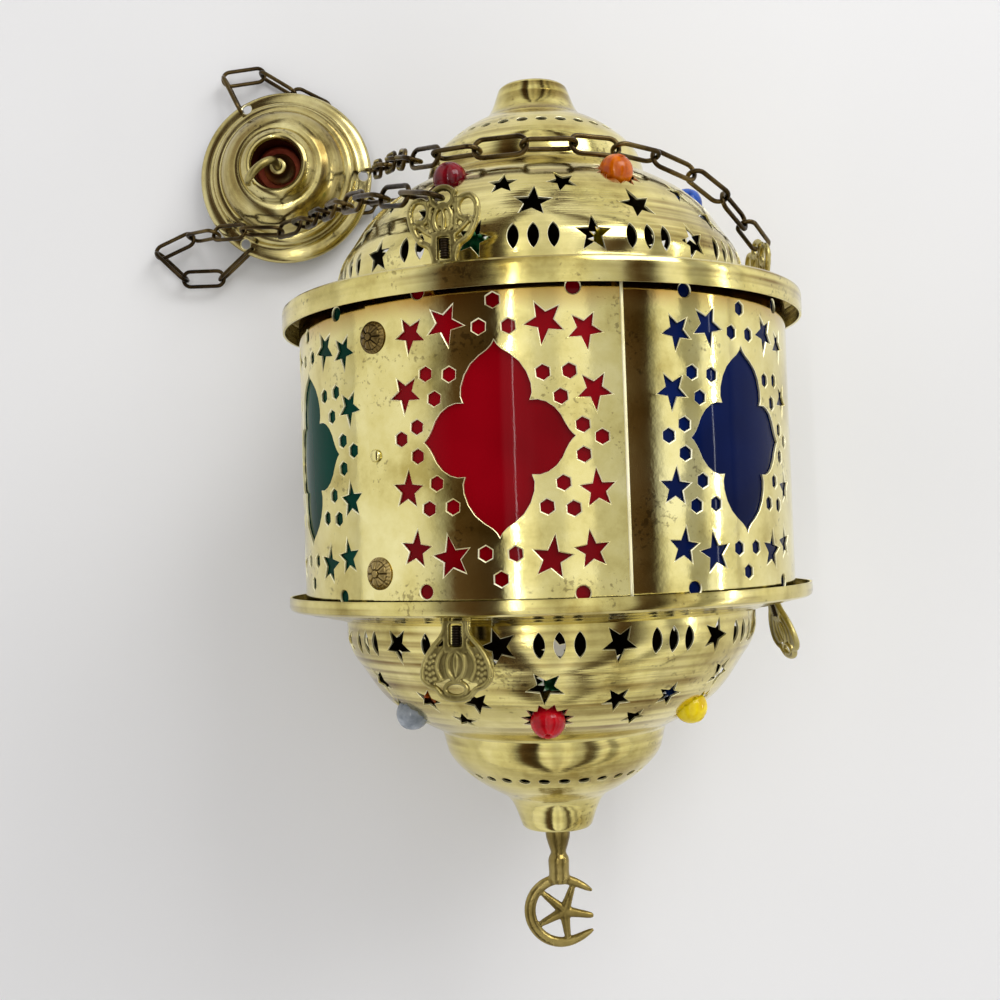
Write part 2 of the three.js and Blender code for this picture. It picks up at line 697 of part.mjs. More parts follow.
// One link: a round wire bent to a long ring between two joints
function linkGeometry(from, to, face, before, after) {
  const along = to.clone().sub(from).normalize();
  const across = v3().crossVectors(face, along);
  const bend = linkHalfWidth - wireRadius;
  const cornerReach = bend / Math.cos(radians(30));
  const ends = [
    [from.clone().addScaledVector(along, bend - before), -1],
    [to.clone().addScaledVector(along, after - bend), 1],
  ];
  const stations = [];
  for (const [centre, way] of ends) {
    for (const [a, reach] of [[-90, bend], [-30, cornerReach], [30, cornerReach], [90, bend]]) {
      const out = across.clone().multiplyScalar(-way * Math.sin(radians(a)));
      out.addScaledVector(along, way * Math.cos(radians(a)));
      stations.push({ centre: centre.clone().addScaledVector(out, reach), out });
    }
  }
  const positions = [];
  for (const { centre, out } of stations) {
    for (let s = 0; s < linkSides; s += 1) {
      const a = (2 * Math.PI * s) / linkSides;
      const p = centre.clone().addScaledVector(out, wireRadius * Math.cos(a));
      p.addScaledVector(face, wireRadius * Math.sin(a));
      positions.push(p.x, p.y, p.z);
    }
  }
  const index = [];
  const n = stations.length;
  for (let i = 0; i < n; i += 1) {
    for (let s = 0; s < linkSides; s += 1) {
      const a = i * linkSides + s;
      const b = i * linkSides + ((s + 1) % linkSides);
      const c = ((i + 1) % n) * linkSides + s;
      const d = ((i + 1) % n) * linkSides + ((s + 1) % linkSides);
      index.push(a, c, b, b, c, d);
    }
  }
  const geometry = new THREE.BufferGeometry();
  geometry.setAttribute('position', new THREE.BufferAttribute(new Float32Array(positions), 3));
  geometry.setIndex(index);
  return closed(geometry);
}

// How far a link's end wire reaches past its joint: fused in a group, free at a hinge, round a bar
const fusedReach = wireRadius - linkFuse / 2;
const freeReach = wireRadius + seatGap / 2;
const barReach = linkHalfWidth - wireRadius;
const rimReach = rimBarRadius - canopyHoleCircle;

function chainLayout(index) {
  const { points, start, end } = chainRoute(index);
  const joints = evenJoints(points);
  const count = joints.length - 1;
  const firsts = [0, ...chainSplits[index].map((share) => Math.round(share * count)), count];
  const ways = joints.slice(1).map((p, i) => p.clone().sub(joints[i]).normalize());
  const square = (direction, way) => direction.clone().addScaledVector(way, -direction.dot(way)).normalize();
  const faces = [square(start.axis, ways[0])];
  for (const way of ways.slice(1)) faces.push(square(faces.at(-1), way).applyAxisAngle(way, Math.PI / 2));
  const wanted = square(end.axis, ways.at(-1));
  const turn = v3().crossVectors(faces.at(-1), wanted).dot(ways.at(-1));
  const twist = Math.atan2(turn, faces.at(-1).dot(wanted));
  const spread = (twist - Math.PI * Math.round(twist / Math.PI)) / (count - 1);
  faces.forEach((face, i) => face.applyAxisAngle(ways[i], i * spread));
  return { joints, count, firsts, faces, ways, start, end };
}

function chainGroupGeometry(layout, group) {
  const { joints, firsts, faces, count } = layout;
  const links = [];
  for (let i = firsts[group]; i < firsts[group + 1]; i += 1) {
    const before = i === 0 ? barReach : i === firsts[group] ? freeReach : fusedReach;
    const after = i === count - 1 ? rimReach : i === firsts[group + 1] - 1 ? freeReach : fusedReach;
    links.push(linkGeometry(joints[i], joints[i + 1], faces[i], before, after));
  }
  return joinAll(links);
}

// The assembly

const lantern = new THREE.Group();
laidDown.decompose(lantern.position, lantern.quaternion, lantern.scale);
const addToLantern = (name, geometry, material) => lantern.add(meshOf(name, geometry, material));

addToLantern('top_dome', makeTopDome(), brass);
addToLantern('bottom_bowl', makeBottomBowl(), brass);
addToLantern('body_wrap', makeBodyWrap(), brass);
addToLantern('closing_panel', makeClosingPanel(), brass);

panelAngles.forEach((_, i) => {
  const glass = new THREE.MeshStandardMaterial({ color: paneColours[i], roughness: 0.15, metalness: 0 });
  addToLantern('window_pane_' + (i + 1), makePane(i), glass);
});

rosetteHeights.forEach((height, i) =>
  addToLantern('rosette_stud_' + (i + 1), studGeometry(rosetteRadius, rosetteRise, height), darkBronze));
addToLantern('seam_rivet', studGeometry(rivetRadius, rivetRise, rivetHeight), brass);

earAngles.forEach((angle, i) => {
  addToLantern('upper_ear_' + (i + 1), placedEar(angle, 1, 0), castBrass);
  addToLantern('lower_ear_' + (i + 1), placedEar(angle, -1, lowerEarLean[i]), castBrass);
});

for (const [side, first, colours, name] of [
  [1, upperBeadAngle, upperBeadColours, 'upper_bead_'],
  [-1, lowerBeadAngle, lowerBeadColours, 'lower_bead_'],
]) {
  beadAngles(first).forEach((angle, i) => {
    const { centre } = beadPlace(angle, side);
    const bead = closed(new THREE.SphereGeometry(beadRadius, 8, 5)).translate(centre.x, centre.y, centre.z);
    const glass = new THREE.MeshStandardMaterial({ color: colours[i], roughness: 0.12, metalness: 0 });
    addToLantern(name + (i + 1), bead, glass);
  });
}

addToLantern('crescent_finial', makeFinial(), castBrass);
addToLantern('finial_nut', hexNut(nutRadius, studRadius + seatGap, nutFrom, nutFrom + nutThickness), brass);
addToLantern('candle_cup', makeCandleCup(), brass);

const besideIt = new THREE.Group();
besideIt.add(meshOf('ceiling_cup', makeCanopy(), brass));
besideIt.add(meshOf('ceiling_hook', makeHook(), castBrass));
besideIt.add(meshOf('hook_nut', makeHookNut(), brass));

const chains = chainSplits.map((_, i) => chainLayout(i));
chains.forEach((layout, i) => {
  for (let g = 0; g < layout.firsts.length - 1; g += 1) {
    const name = 'chain_' + (i + 1) + '_' + 'abcd'[g];
    besideIt.add(meshOf(name, chainGroupGeometry(layout, g), darkBronze));
  }
});

const model = new THREE.Group();
model.add(lantern, besideIt);

export default model;
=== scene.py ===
# A round hanging lantern of pierced sheet brass, lying on its side with its chains and ceiling cup.
# Sizes are written in millimetres and made metres where a mesh is made.

import math

import bmesh
import bpy
import numpy as np
from mathutils import Matrix, Vector


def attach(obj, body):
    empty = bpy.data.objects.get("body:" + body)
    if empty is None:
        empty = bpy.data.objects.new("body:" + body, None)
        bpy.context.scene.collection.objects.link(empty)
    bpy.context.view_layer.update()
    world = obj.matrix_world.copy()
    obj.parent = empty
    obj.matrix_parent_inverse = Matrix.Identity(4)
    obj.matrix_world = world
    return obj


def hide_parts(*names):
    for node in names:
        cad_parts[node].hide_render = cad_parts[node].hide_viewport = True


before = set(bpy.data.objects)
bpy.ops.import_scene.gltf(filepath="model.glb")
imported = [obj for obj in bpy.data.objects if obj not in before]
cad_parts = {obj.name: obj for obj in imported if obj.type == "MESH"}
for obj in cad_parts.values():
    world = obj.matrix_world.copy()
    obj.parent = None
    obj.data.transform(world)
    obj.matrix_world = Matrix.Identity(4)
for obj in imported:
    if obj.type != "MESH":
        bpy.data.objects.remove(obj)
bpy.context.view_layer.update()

MM = 0.001

# Places shared with the CAD model

rim_radius = 100.0
rim_facets = 30
axis_height = rim_radius * math.cos(math.pi / rim_facets)
along_offset = 52.2
upper_plate = 58.8
lower_plate = -55.2
body_radius = 93.7
closing_radius = 94.8
body_low, body_high = -54.1, 57.7
sheet = 0.8
dome_rise = 87.4
ear_circle = 89.6
ear_angles = [-20, 100, 220]
bead_radius, bead_rise, bead_proud = 6.1, 38.5, 0.4
first_panel, neighbour_angle = -9.2, 55.7
bead_angles = {"upper": -31, "lower": -2}
neck_end = lower_plate - dome_rise
seat_gap = 0.3
canopy_centre = (-116.0, 193.0, 9.9)
canopy_disc = 13.4
canopy_radius = 40
hole_circle, hole_radius, first_hole = 36.5, 2.45, 2

scene = bpy.context.scene
scene.view_settings.view_transform = "Standard"


def metres(*numbers):
    return Vector(numbers) * MM


def in_scene(name, data):
    made = bpy.data.objects.new(name, data)
    scene.collection.objects.link(made)
    return made


def round_axis(angle, radius, height):
    """A place in mm round the lying lantern's axis: degrees from its top, radius, height along it."""
    a = math.radians(angle)
    return Vector((radius * math.sin(a), height + along_offset, axis_height + radius * math.cos(a)))


# Local Y is the lantern's axis, local Z its top
lying = Matrix.Translation(metres(0, along_offset, axis_height))


# Camera

def make_camera():
    data = bpy.data.cameras.new("photo_camera")
    data.sensor_width = 36.0
    data.lens = 46.8
    data.shift_x = -0.003
    data.clip_start = 0.01
    data.clip_end = 20
    # Almost straight down, a little tilted and turned
    turn = Matrix.Identity(4)
    for degrees, axis in ((1.91, "Y"), (1.74, "X"), (-1.91, "Z")):
        turn = turn @ Matrix.Rotation(math.radians(degrees), 4, axis)
    scene.camera = in_scene("photo_camera", data)
    scene.camera.matrix_world = Matrix.Translation(metres(0, 21.2, 607.55)) @ turn


make_camera()


# Node helper

def node(tree, kind, settings=None, inputs=None, stops=None):
    """Adds one node with its settings, inputs (number, socket or a node's first output) and ramp stops."""
    made = tree.nodes.new(kind)
    for key, value in (settings or {}).items():
        setattr(made, key, value)
    for key, value in (inputs or {}).items():
        if isinstance(value, bpy.types.Node):
            value = value.outputs[0]
        if isinstance(value, bpy.types.NodeSocket):
            tree.links.new(value, made.inputs[key])
        else:
            made.inputs[key].default_value = value
    for i, (position, colour) in enumerate(stops or []):
        elements = made.color_ramp.elements
        element = elements[i] if i < 2 else elements.new(position)
        element.position = position
        element.color = colour
    return made


def linear(hex_colour):
    """An sRGB hex value as Blender's linear colour."""
    parts = [int(hex_colour[i:i + 2], 16) / 255 for i in (0, 2, 4)]
    return tuple(p / 12.92 if p <= 0.04045 else ((p + 0.055) / 1.055) ** 2.4 for p in parts) + (1.0,)


def new_material(name):
    material = bpy.data.materials.new(name)
    material.use_nodes = True
    tree = material.node_tree
    tree.nodes.clear()
    shader = node(tree, "ShaderNodeBsdfPrincipled")
    node(tree, "ShaderNodeOutputMaterial", inputs={"Surface": shader})
    return material, tree, shader


def grey(value):
    return (value, value, value, 1.0)


# Materials

def brass_finish(name, light, mid, dark, rough, wave, spun=0.0, speck=0.5, grain=0.05, hollow_shade=0.0,
                 rim_reflection=0.0):
    """Brass with patches of tarnish and dark specks; spun ones have dull lines, cast ones painted shade in
    their hollows, one a painted reflection under the upper rim.
    """
    material, tree, shader = new_material(name)
    place = node(tree, "ShaderNodeTexCoord").outputs["Object"]
    patches = node(tree, "ShaderNodeTexNoise",
                   inputs={"Vector": place, "Scale": 38.0, "Detail": 5.0, "Roughness": 0.62})
    colour = node(tree, "ShaderNodeValToRGB", inputs={"Fac": patches},
                  stops=[(0.30, linear(dark)), (0.47, linear(mid)), (0.66, linear(light))]).outputs["Color"]
    # Tarnish specks, 0.4 to 1.2 mm across
    specks = node(tree, "ShaderNodeTexNoise",
                  inputs={"Vector": place, "Scale": 620.0, "Detail": 2.0, "Roughness": 0.5})
    fields = node(tree, "ShaderNodeTexNoise", inputs={"Vector": place, "Scale": 55.0, "Detail": 3.0})
    product = node(tree, "ShaderNodeMath", {"operation": "MULTIPLY"}, {0: specks, 1: fields})
    spot = node(tree, "ShaderNodeValToRGB", inputs={"Fac": product},
                stops=[(0.355, grey(0)), (0.43, grey(speck))])
    colour = node(tree, "ShaderNodeMix", {"data_type": "RGBA"},
                  {0: spot, 6: colour, 7: linear("4d3b1c")}).outputs[2]
    if spun:
        # Spinning lines: an even line about every 0.6 mm along the spun profile, wider bands every few mm
        along = node(tree, "ShaderNodeAttribute", {"attribute_name": "along_profile"}).outputs["Fac"]
        fine = node(tree, "ShaderNodeTexNoise", {"noise_dimensions": "1D"},
                    {"W": along, "Scale": 1500.0, "Detail": 3.0})
        bands = node(tree, "ShaderNodeTexNoise", {"noise_dimensions": "1D"},
                     {"W": along, "Scale": 260.0, "Detail": 2.0})
        streak = node(tree, "ShaderNodeValToRGB", inputs={"Fac": bands},
                      stops=[(0.36, linear("86693a")), (0.6, grey(1.0))])
        worn = node(tree, "ShaderNodeTexNoise", inputs={"Vector": place, "Scale": 21.0, "Detail": 2.0})
        strength = node(tree, "ShaderNodeMapRange",
                        inputs={"Value": worn, "From Min": 0.45, "From Max": 0.65, "To Min": spun * 0.6,
                                "To Max": spun * 4.0})
        colour = node(tree, "ShaderNodeMix", {"data_type": "RGBA", "blend_type": "MULTIPLY"},
                      {0: strength, 6: colour, 7: streak}).outputs[2]
        lines = node(tree, "ShaderNodeBump",
                     inputs={"Height": fine, "Strength": spun * 0.35, "Distance": 0.0002})
        height = node(tree, "ShaderNodeBump",
                      inputs={"Height": bands, "Strength": spun, "Distance": 0.0005, "Normal": lines})
    else:
        height = node(tree, "ShaderNodeBump",
                      inputs={"Height": specks, "Strength": grain, "Distance": 0.0003})
    if hollow_shade:
        # Painted shade: the hollows of a casting, found by its pointiness, are darkened, so its high places
        # look brighter
        hollow = node(tree, "ShaderNodeNewGeometry").outputs["Pointiness"]
        depth = node(tree, "ShaderNodeMapRange",
                     inputs={"Value": hollow, "From Min": 0.455, "From Max": 0.525, "To Min": hollow_shade,
                             "To Max": 0.0})
        colour = node(tree, "ShaderNodeMix", {"data_type": "RGBA"},
                      {0: depth, 6: colour, 7: linear("3a2c14")}).outputs[2]
    if rim_reflection:
        # Painted reflection: the orange gold that the rim's underside throws on the last 8 mm of the body
        # under it
        up = node(tree, "ShaderNodeSeparateXYZ", inputs={"Vector": place}).outputs["Y"]
        edge = node(tree, "ShaderNodeMath", {"operation": "MULTIPLY_ADD"}, {0: patches, 1: 0.014, 2: up})
        rim_reflection_mask = node(tree, "ShaderNodeMapRange",
                     inputs={"Value": edge, "From Min": 0.101, "From Max": 0.109, "To Min": 0.0,
                             "To Max": rim_reflection})
        colour = node(tree, "ShaderNodeMix", {"data_type": "RGBA"},
                      {0: rim_reflection_mask, 6: colour, 7: linear("a9781a")}).outputs[2]
    # The hand-beaten sheet isn't true: waves 20 to 40 mm long bend the reflections
    waves = node(tree, "ShaderNodeTexNoise", inputs={"Vector": place, "Scale": 26.0, "Detail": 1.5})
    wavy = node(tree, "ShaderNodeBump",
                inputs={"Height": waves, "Strength": wave, "Distance": 0.006, "Normal": height})
    rough_noise = node(tree, "ShaderNodeTexNoise", inputs={"Vector": place, "Scale": 90.0, "Detail": 4.0})
    roughness = node(tree, "ShaderNodeMapRange",
                     inputs={"Value": rough_noise, "From Min": 0.3, "From Max": 0.72,
                             "To Min": rough * 0.75, "To Max": rough * 1.45})
    tree.links.new(colour, shader.inputs["Base Color"])
    tree.links.new(roughness.outputs[0], shader.inputs["Roughness"])
    tree.links.new(wavy.outputs["Normal"], shader.inputs["Normal"])
    shader.inputs["Metallic"].default_value = 1.0
    return material


def glass_sheet(name, deep, bright, gloss):
    """Coloured sheet: deep colour under a smooth gloss."""
    material, tree, shader = new_material(name)
    place = node(tree, "ShaderNodeTexCoord").outputs["Object"]
    cloud = node(tree, "ShaderNodeTexNoise", inputs={"Vector": place, "Scale": 22.0, "Detail": 2.0})
    colour = node(tree, "ShaderNodeValToRGB", inputs={"Fac": cloud},
                  stops=[(0.35, linear(deep)), (0.7, linear(bright))])
    bend = node(tree, "ShaderNodeBump", inputs={"Height": cloud, "Strength": 0.05, "Distance": 0.004})
    tree.links.new(colour.outputs["Color"], shader.inputs["Base Color"])
    tree.links.new(bend.outputs["Normal"], shader.inputs["Normal"])
    shader.inputs["Roughness"].default_value = 0.04
    shader.inputs["IOR"].default_value = 1.49
    shader.inputs["Specular IOR Level"].default_value = gloss
    return material


def bead_glass(name, deep, bright, clear=0.0):
    """Pressed glass bead, glossy, a little cloudy inside."""
    material, tree, shader = new_material(name)
    place = node(tree, "ShaderNodeTexCoord").outputs["Object"]
    cloud = node(tree, "ShaderNodeTexNoise", inputs={"Vector": place, "Scale": 240.0, "Detail": 3.0})
    colour = node(tree, "ShaderNodeValToRGB", inputs={"Fac": cloud},
                  stops=[(0.35, linear(deep)), (0.65, linear(bright))])
    tree.links.new(colour.outputs["Color"], shader.inputs["Base Color"])
    shader.inputs["Roughness"].default_value = 0.1
    shader.inputs["IOR"].default_value = 1.52
    shader.inputs["Specular IOR Level"].default_value = 0.25
    shader.inputs["Transmission Weight"].default_value = clear
    return material


# Polished sheet brass, pale and greenish, with a lacquer gone patchy and a painted reflection of the upper
# rim along its top
wrap_brass = brass_finish("polished_sheet_brass", "f2e8a8", "e2d58c", "bdac62", 0.085, 0.06, rim_reflection=0.85)
# The same sheet after spinning: dull lines round the axis
spun_brass = brass_finish("spun_sheet_brass", "efe29c", "dacc80", "a8944c", 0.13, 0.13, spun=0.22)
# The inside was never polished and is brown-black with soot
sooty_brass = brass_finish("sooty_unpolished_brass", "4a3a20", "2e2314", "18110a", 0.5, 0.1, speck=0.3)
# The ceiling cup: the same spun sheet gone a little browner and duller
aged_brass = brass_finish("aged_spun_brass", "dacf96", "bdae70", "80703f", 0.18, 0.1, spun=0.2, speck=0.7)
# Its throat is dark brown-red
red_brown_throat = brass_finish("red_brown_throat_brass", "6a3220", "4c1c12", "2a0f09", 0.35, 0.1, speck=0.4)
# Sand-cast brass, satin, with painted shade in its hollows
cast_brass = brass_finish("satin_cast_brass", "c9bb7c", "a6995e", "6a5d30", 0.3, 0.1, speck=0.35, grain=0.5,
                          hollow_shade=0.9)
# The finial was cast from the same metal and left unpolished, with a lighter painted shade in its hollows
dull_cast = brass_finish("unpolished_cast_brass", "b7a465", "8d7b44", "54451f", 0.3, 0.12, grain=0.5,
                         hollow_shade=0.5)
# Freshly cut edges of the punched holes, a bright burr, painted near white as a standing glint so that they
# show as a bright outline
cut_edge_glint_brass = brass_finish("cut_edge_painted_glint_brass", "fffadc", "faf3c6", "e6da9c", 0.42, 0.0, speck=0.0)
# Antiqued studs and chain wire, brown-black with patches of worn brass; the studs get painted shade in their
# hollows
dark_stud = brass_finish("antiqued_bronze_stud", "b09a62", "7f6a3c", "3a2b18", 0.32, 0.1, grain=0.5,
                         hollow_shade=0.8)
chain_wire = brass_finish("antiqued_brass_wire", "6e5c38", "40331f", "1e1710", 0.28, 0.1, speck=0.4,
                          grain=0.3)
# Rusty brown machine screws in the ears' slots
steel_screw = brass_finish("browned_steel_screw", "4a4036", "322a22", "1a1510", 0.4, 0.0, speck=0.2)
# Deep coloured plastic window sheets with a smooth gloss
red_sheet = glass_sheet("red_window_sheet", "6c0008", "900412", 0.07)
blue_sheet = glass_sheet("blue_window_sheet", "020c32", "04184e", 0.05)
green_sheet = glass_sheet("green_window_sheet", "043428", "07463a", 0.02)
pane_finishes = [red_sheet, blue_sheet, green_sheet] * 2
# Pressed glass beads; the dark red and the orange ones let some light through
bead_finishes = {
    "red": bead_glass("red_glass_bead", "a00816", "c8101e"),
    "dark_red": bead_glass("dark_red_glass_bead", "5a0712", "8f1020", 0.2),
    "orange": bead_glass("orange_glass_bead", "c05000", "ff8800", 0.3),
    "yellow": bead_glass("yellow_glass_bead", "d9b400", "f4dc1e"),
    "blue": bead_glass("blue_glass_bead", "123a8c", "2c62c8"),
    "green": bead_glass("green_glass_bead", "17693a", "2f9a58"),
    "grey": bead_glass("silver_grey_glass_bead", "7d858e", "a9b0b8"),
}


# Mesh helpers

def raw_mesh(name, vertices, faces=()):
    mesh = bpy.data.meshes.new(name)
    mesh.from_pydata([tuple(v) for v in vertices], [], faces)
    return mesh


def closed_mesh(name, vertices, faces, merge):
    """A mesh in metres with its doubles merged and its faces outwards."""
    mesh = raw_mesh(name, vertices, faces)
    bm = bmesh.new()
    bm.from_mesh(mesh)
    bmesh.ops.remove_doubles(bm, verts=bm.verts, dist=merge)
    bmesh.ops.recalc_face_normals(bm, faces=bm.faces)
    bm.to_mesh(mesh)
    bm.free()
    return mesh


def mesh_object(name, vertices, faces, material, smooth=40):
    """A closed mesh object in metres, smooth but for edges sharper than an angle."""
    mesh = closed_mesh(name, vertices, faces, 1e-6)
    mesh.shade_smooth()
    mesh.set_sharp_from_angle(angle=math.radians(smooth))
    mesh.materials.append(material)
    return in_scene(name, mesh)


def baked(source, name):
    """The evaluated object as a plain mesh object; the source is removed."""
    graph = bpy.context.evaluated_depsgraph_get()
    graph.update()
    mesh = bpy.data.meshes.new_from_object(source.evaluated_get(graph), preserve_all_data_layers=True,
                                           depsgraph=graph)
    flat = source.data
    bpy.data.objects.remove(source)
    bpy.data.meshes.remove(flat)
    mesh.name = name
    mesh.shade_smooth()
    return in_scene(name, mesh)


def ring_faces(rings, sides, looped=False):
    """Quads between rings of vertices that follow each other; a looped row ends at its first ring."""
    faces = []
    for i in range(rings if looped else rings - 1):
        low, high = i * sides, (i + 1) % rings * sides
        for k in range(sides):
            n = (k + 1) % sides
            faces.append((low + k, low + n, high + n, high + k))
    return faces


def around(count):
    """Angles in radians, evenly round a circle."""
    return [2 * math.pi * k / count for k in range(count)]


def rounded(points, per_span=6):
    """A smooth line through points (centripetal Catmull-Rom), as many points in each span."""
    p = [np.array(q, float) for q in points]
    p = [2 * p[0] - p[1], *p, 2 * p[-1] - p[-2]]
    out = []
    for i in range(1, len(p) - 2):
        a, b, c, d = p[i - 1:i + 3]
        t1 = np.linalg.norm(b - a) ** 0.5
        t2 = t1 + np.linalg.norm(c - b) ** 0.5
        t3 = t2 + np.linalg.norm(d - c) ** 0.5
        for k in range(per_span):
            t = t1 + (t2 - t1) * k / per_span
            a1 = (t1 - t) / t1 * a + t / t1 * b
            a2 = (t2 - t) / (t2 - t1) * b + (t - t1) / (t2 - t1) * c
            a3 = (t3 - t) / (t3 - t2) * c + (t - t2) / (t3 - t2) * d
            b1 = (t2 - t) / t2 * a1 + t / t2 * a2
            b2 = (t3 - t) / (t3 - t1) * a2 + (t - t1) / (t3 - t1) * a3
            out.append((t2 - t) / (t2 - t1) * b1 + (t - t1) / (t2 - t1) * b2)
    out.append(p[-2])
    return out


def turned(name, profile, place, material, segments):
    """A piece turned on the lathe: closed profile of (radius, height) in mm, set by a matrix in metres."""
    vertices = [place @ metres(r * math.cos(a), r * math.sin(a), h)
                for r, h in profile for a in around(segments)]
    return mesh_object(name, vertices, ring_faces(len(profile), segments), material)


def tube_mesh(points, radii, sides=10, face=None, looped=False):
    """Vertices and faces of a tube along points (mm); radii: a pair (across, along face), or a list."""
    p = [Vector(q) for q in points]
    n = len(p)
    ways = []
    for i in range(n):
        before = p[i - 1] if (i or looped) else p[i]
        after = p[(i + 1) % n] if (i < n - 1 or looped) else p[i]
        ways.append((after - before).normalized())
    flat = Vector(face) if face else ways[0].orthogonal()
    vertices = []
    for i in range(n):
        flat = (flat - ways[i] * flat.dot(ways[i])).normalized()
        across = flat.cross(ways[i])
        wide, thick = radii[i] if isinstance(radii, list) else radii
        for a in around(sides):
            vertices.append(p[i] + across * (wide * math.cos(a)) + flat * (thick * math.sin(a)))
    faces = ring_faces(n, sides, looped)
    if not looped:
        faces.append(tuple(reversed(range(sides))))
        faces.append(tuple(range((n - 1) * sides, n * sides)))
    return vertices, faces


def ball_mesh(centre, radius, squash=1.0, sides=10):
    """Vertices and faces of a small ball (mm), for fusing into a casting."""
    vertices = []
    rings = sides // 2
    for i in range(rings + 1):
        b = math.pi * i / rings
        wide, high = radius * math.sin(b), radius * squash * math.cos(b)
        vertices += [Vector(centre) + Vector((wide * math.cos(a), wide * math.sin(a), high))
                     for a in around(sides)]
    return vertices, ring_faces(rings + 1, sides)


def slab_mesh(outline, low, high):
    """Vertices and faces of an upright prism over an outline (mm)."""
    n = len(outline)
    vertices = [Vector((x, y, z)) for z in (low, high) for x, y in outline]
    return vertices, [tuple(reversed(range(n))), tuple(range(n, 2 * n)), *ring_faces(2, n)]


def fused(name, parts, voxel, material, place, relax=2):
    """Parts in mm joined to one casting by a voxel remesh, relaxed, and set by a matrix in metres."""
    vertices, faces = [], []
    for v, f in parts:
        start = len(vertices)
        vertices += [q * MM for q in v]
        faces += [tuple(i + start for i in one) for one in f]
    source = in_scene(name, closed_mesh(name, vertices, faces, 1e-7))
    remesh = source.modifiers.new("cast", "REMESH")
    remesh.mode = "VOXEL"
    remesh.voxel_size = voxel * MM
    relaxed = source.modifiers.new("relax", "SMOOTH")
    relaxed.iterations = relax
    relaxed.factor = 0.5
    made = baked(source, name)
    made.data.transform(place)
    made.data.materials.clear()
    made.data.materials.append(material)
    return made


# Pierced sheet: punched flat, then rolled or spun to its profile

def star_outline(points, outer, waist, turn=0.0, long_tip=1.0):
    """A star whose first arm, straight up before its turn, may be drawn out."""
    out = []
    for i in range(2 * points):
        a = math.radians(90 + turn) + math.pi * i / points
        r = outer * waist if i % 2 else outer * (long_tip if i == 0 else 1.0)
        out.append((r * math.cos(a), r * math.sin(a)))
    return out


def leaf_outline(width, height):
    """A pointed leaf of two arcs."""
    half, tall, steps = width / 2, height / 2, 5
    radius = (tall ** 2 + half ** 2) / (2 * half)
    reach = math.asin(tall / radius)
    right = [(radius * math.cos(reach * k / steps) - (radius - half), radius * math.sin(reach * k / steps))
             for k in range(-steps, steps)]
    return right + [(-x, -y) for x, y in right]


def window_outline():
    """The four-lobed window with drawn-out tips."""
    quarter = [(0, 31.8), (0.9, 30.2), (2.4, 28.7), (5.0, 27.0), (8.0, 24.4), (10.2, 21.0), (11.5, 17.2),
               (11.7, 14.2), (10.9, 11.9), (13.6, 12.0), (16.2, 11.2), (18.8, 9.4), (20.8, 6.9), (22.0, 4.4),
               (23.2, 2.3), (24.3, 0.9), (25.3, 0)]
    lower = [(x, -y) for x, y in reversed(quarter[:-1])]
    right = quarter + lower
    return list(reversed(right + [(-x, y) for x, y in reversed(right[1:-1])]))


def round_outline(radius, sides, turn=0.0):
    return [(radius * math.cos(turn + a), radius * math.sin(turn + a)) for a in around(sides)]


def grown(outline, by):
    """An outline moved outwards by a distance in mm, its sharp tips cut back."""
    out = []
    for i, here in enumerate(outline):
        before, after = Vector(outline[i - 1]), Vector(outline[(i + 1) % len(outline)])
        coming, going = Vector(here) - before, after - Vector(here)
        way = Vector((coming.y, -coming.x)).normalized() + Vector((going.y, -going.x)).normalized()
        out.append(tuple(Vector(here) + way.normalized() * (by * min(2.0, 2 / way.length))))
    return out


def punch_solid(outline, edge):
    """A punch through the sheet that leaves a narrow slope at the hole's outer edge."""
    wide = grown(outline, edge)
    rings = ((outline, -4), (outline, sheet / 2 - 0.7 * edge), (wide, sheet / 2 + 0.01), (wide, 4))
    count = len(outline)
    vertices = [metres(x, y, z) for ring, z in rings for x, y in ring]
    ends = [tuple(reversed(range(count))), tuple(range(3 * count, 4 * count))]
    return vertices, ends + ring_faces(len(rings), count)


# Each punch with the width of the sloped edge it leaves; the body's holes have the wider burr
body_edge, dome_edge = 0.36, 0.12
one_star = star_outline(5, 6.5, 0.43, long_tip=1.16)
punch_outlines = {
    "punch_0_star": (one_star, body_edge),
    "punch_1_hexagon": (round_outline(2.55, 6, math.pi / 6), body_edge),
    "punch_2_window": (window_outline(), 0.18),
    "punch_3_leaf": (leaf_outline(4.0, 9.2), dome_edge),
    "punch_4_round": (round_outline(2.4, 16), body_edge),
    "punch_5_bead_star": (star_outline(12, 9.3, 0.68, 15), dome_edge),
    "punch_6_oval": ([(2.15 * x, 1.6 * y) for x, y in round_outline(1.0, 14)], dome_edge),
    "punch_7_dome_star": (one_star, dome_edge),
}
punch_numbers = {name.split("_", 2)[2]: i for i, name in enumerate(punch_outlines)}
punch_set = bpy.data.collections.new("punches")
for punch_name, (punch_outline, punch_edge) in punch_outlines.items():
    punch_mesh = raw_mesh(punch_name, *punch_solid(punch_outline, punch_edge))
    punch_set.objects.link(bpy.data.objects.new(punch_name, punch_mesh))


def new_tree(name, inputs):
    """An empty geometry tree with one geometry in and out, and each named input's identifier."""
    tree = bpy.data.node_groups.new(name, "GeometryNodeTree")
    for way in ("INPUT", "OUTPUT"):
        tree.interface.new_socket(name="Geometry", in_out=way, socket_type="NodeSocketGeometry")
    names = {}
    for key, kind in inputs.items():
        socket = tree.interface.new_socket(name=key, in_out="INPUT", socket_type="NodeSocket" + kind)
        names[key] = socket.identifier
    return tree, names, node(tree, "NodeGroupInput").outputs


def through_tree(name, mesh, tree, names, settings):
    """A mesh sent through a geometry tree with its inputs set, as a plain mesh object."""
    source = in_scene(name + "_source", mesh)
    tool = source.modifiers.new(tree.name, "NODES")
    tool.node_group = tree
    for key, value in settings.items():
        tool[names[key]] = value
    return baked(source, name)


hole_columns = {"kind": "INT", "turn": "FLOAT", "size": "FLOAT", "stretch": "FLOAT", "centre": "FLOAT"}


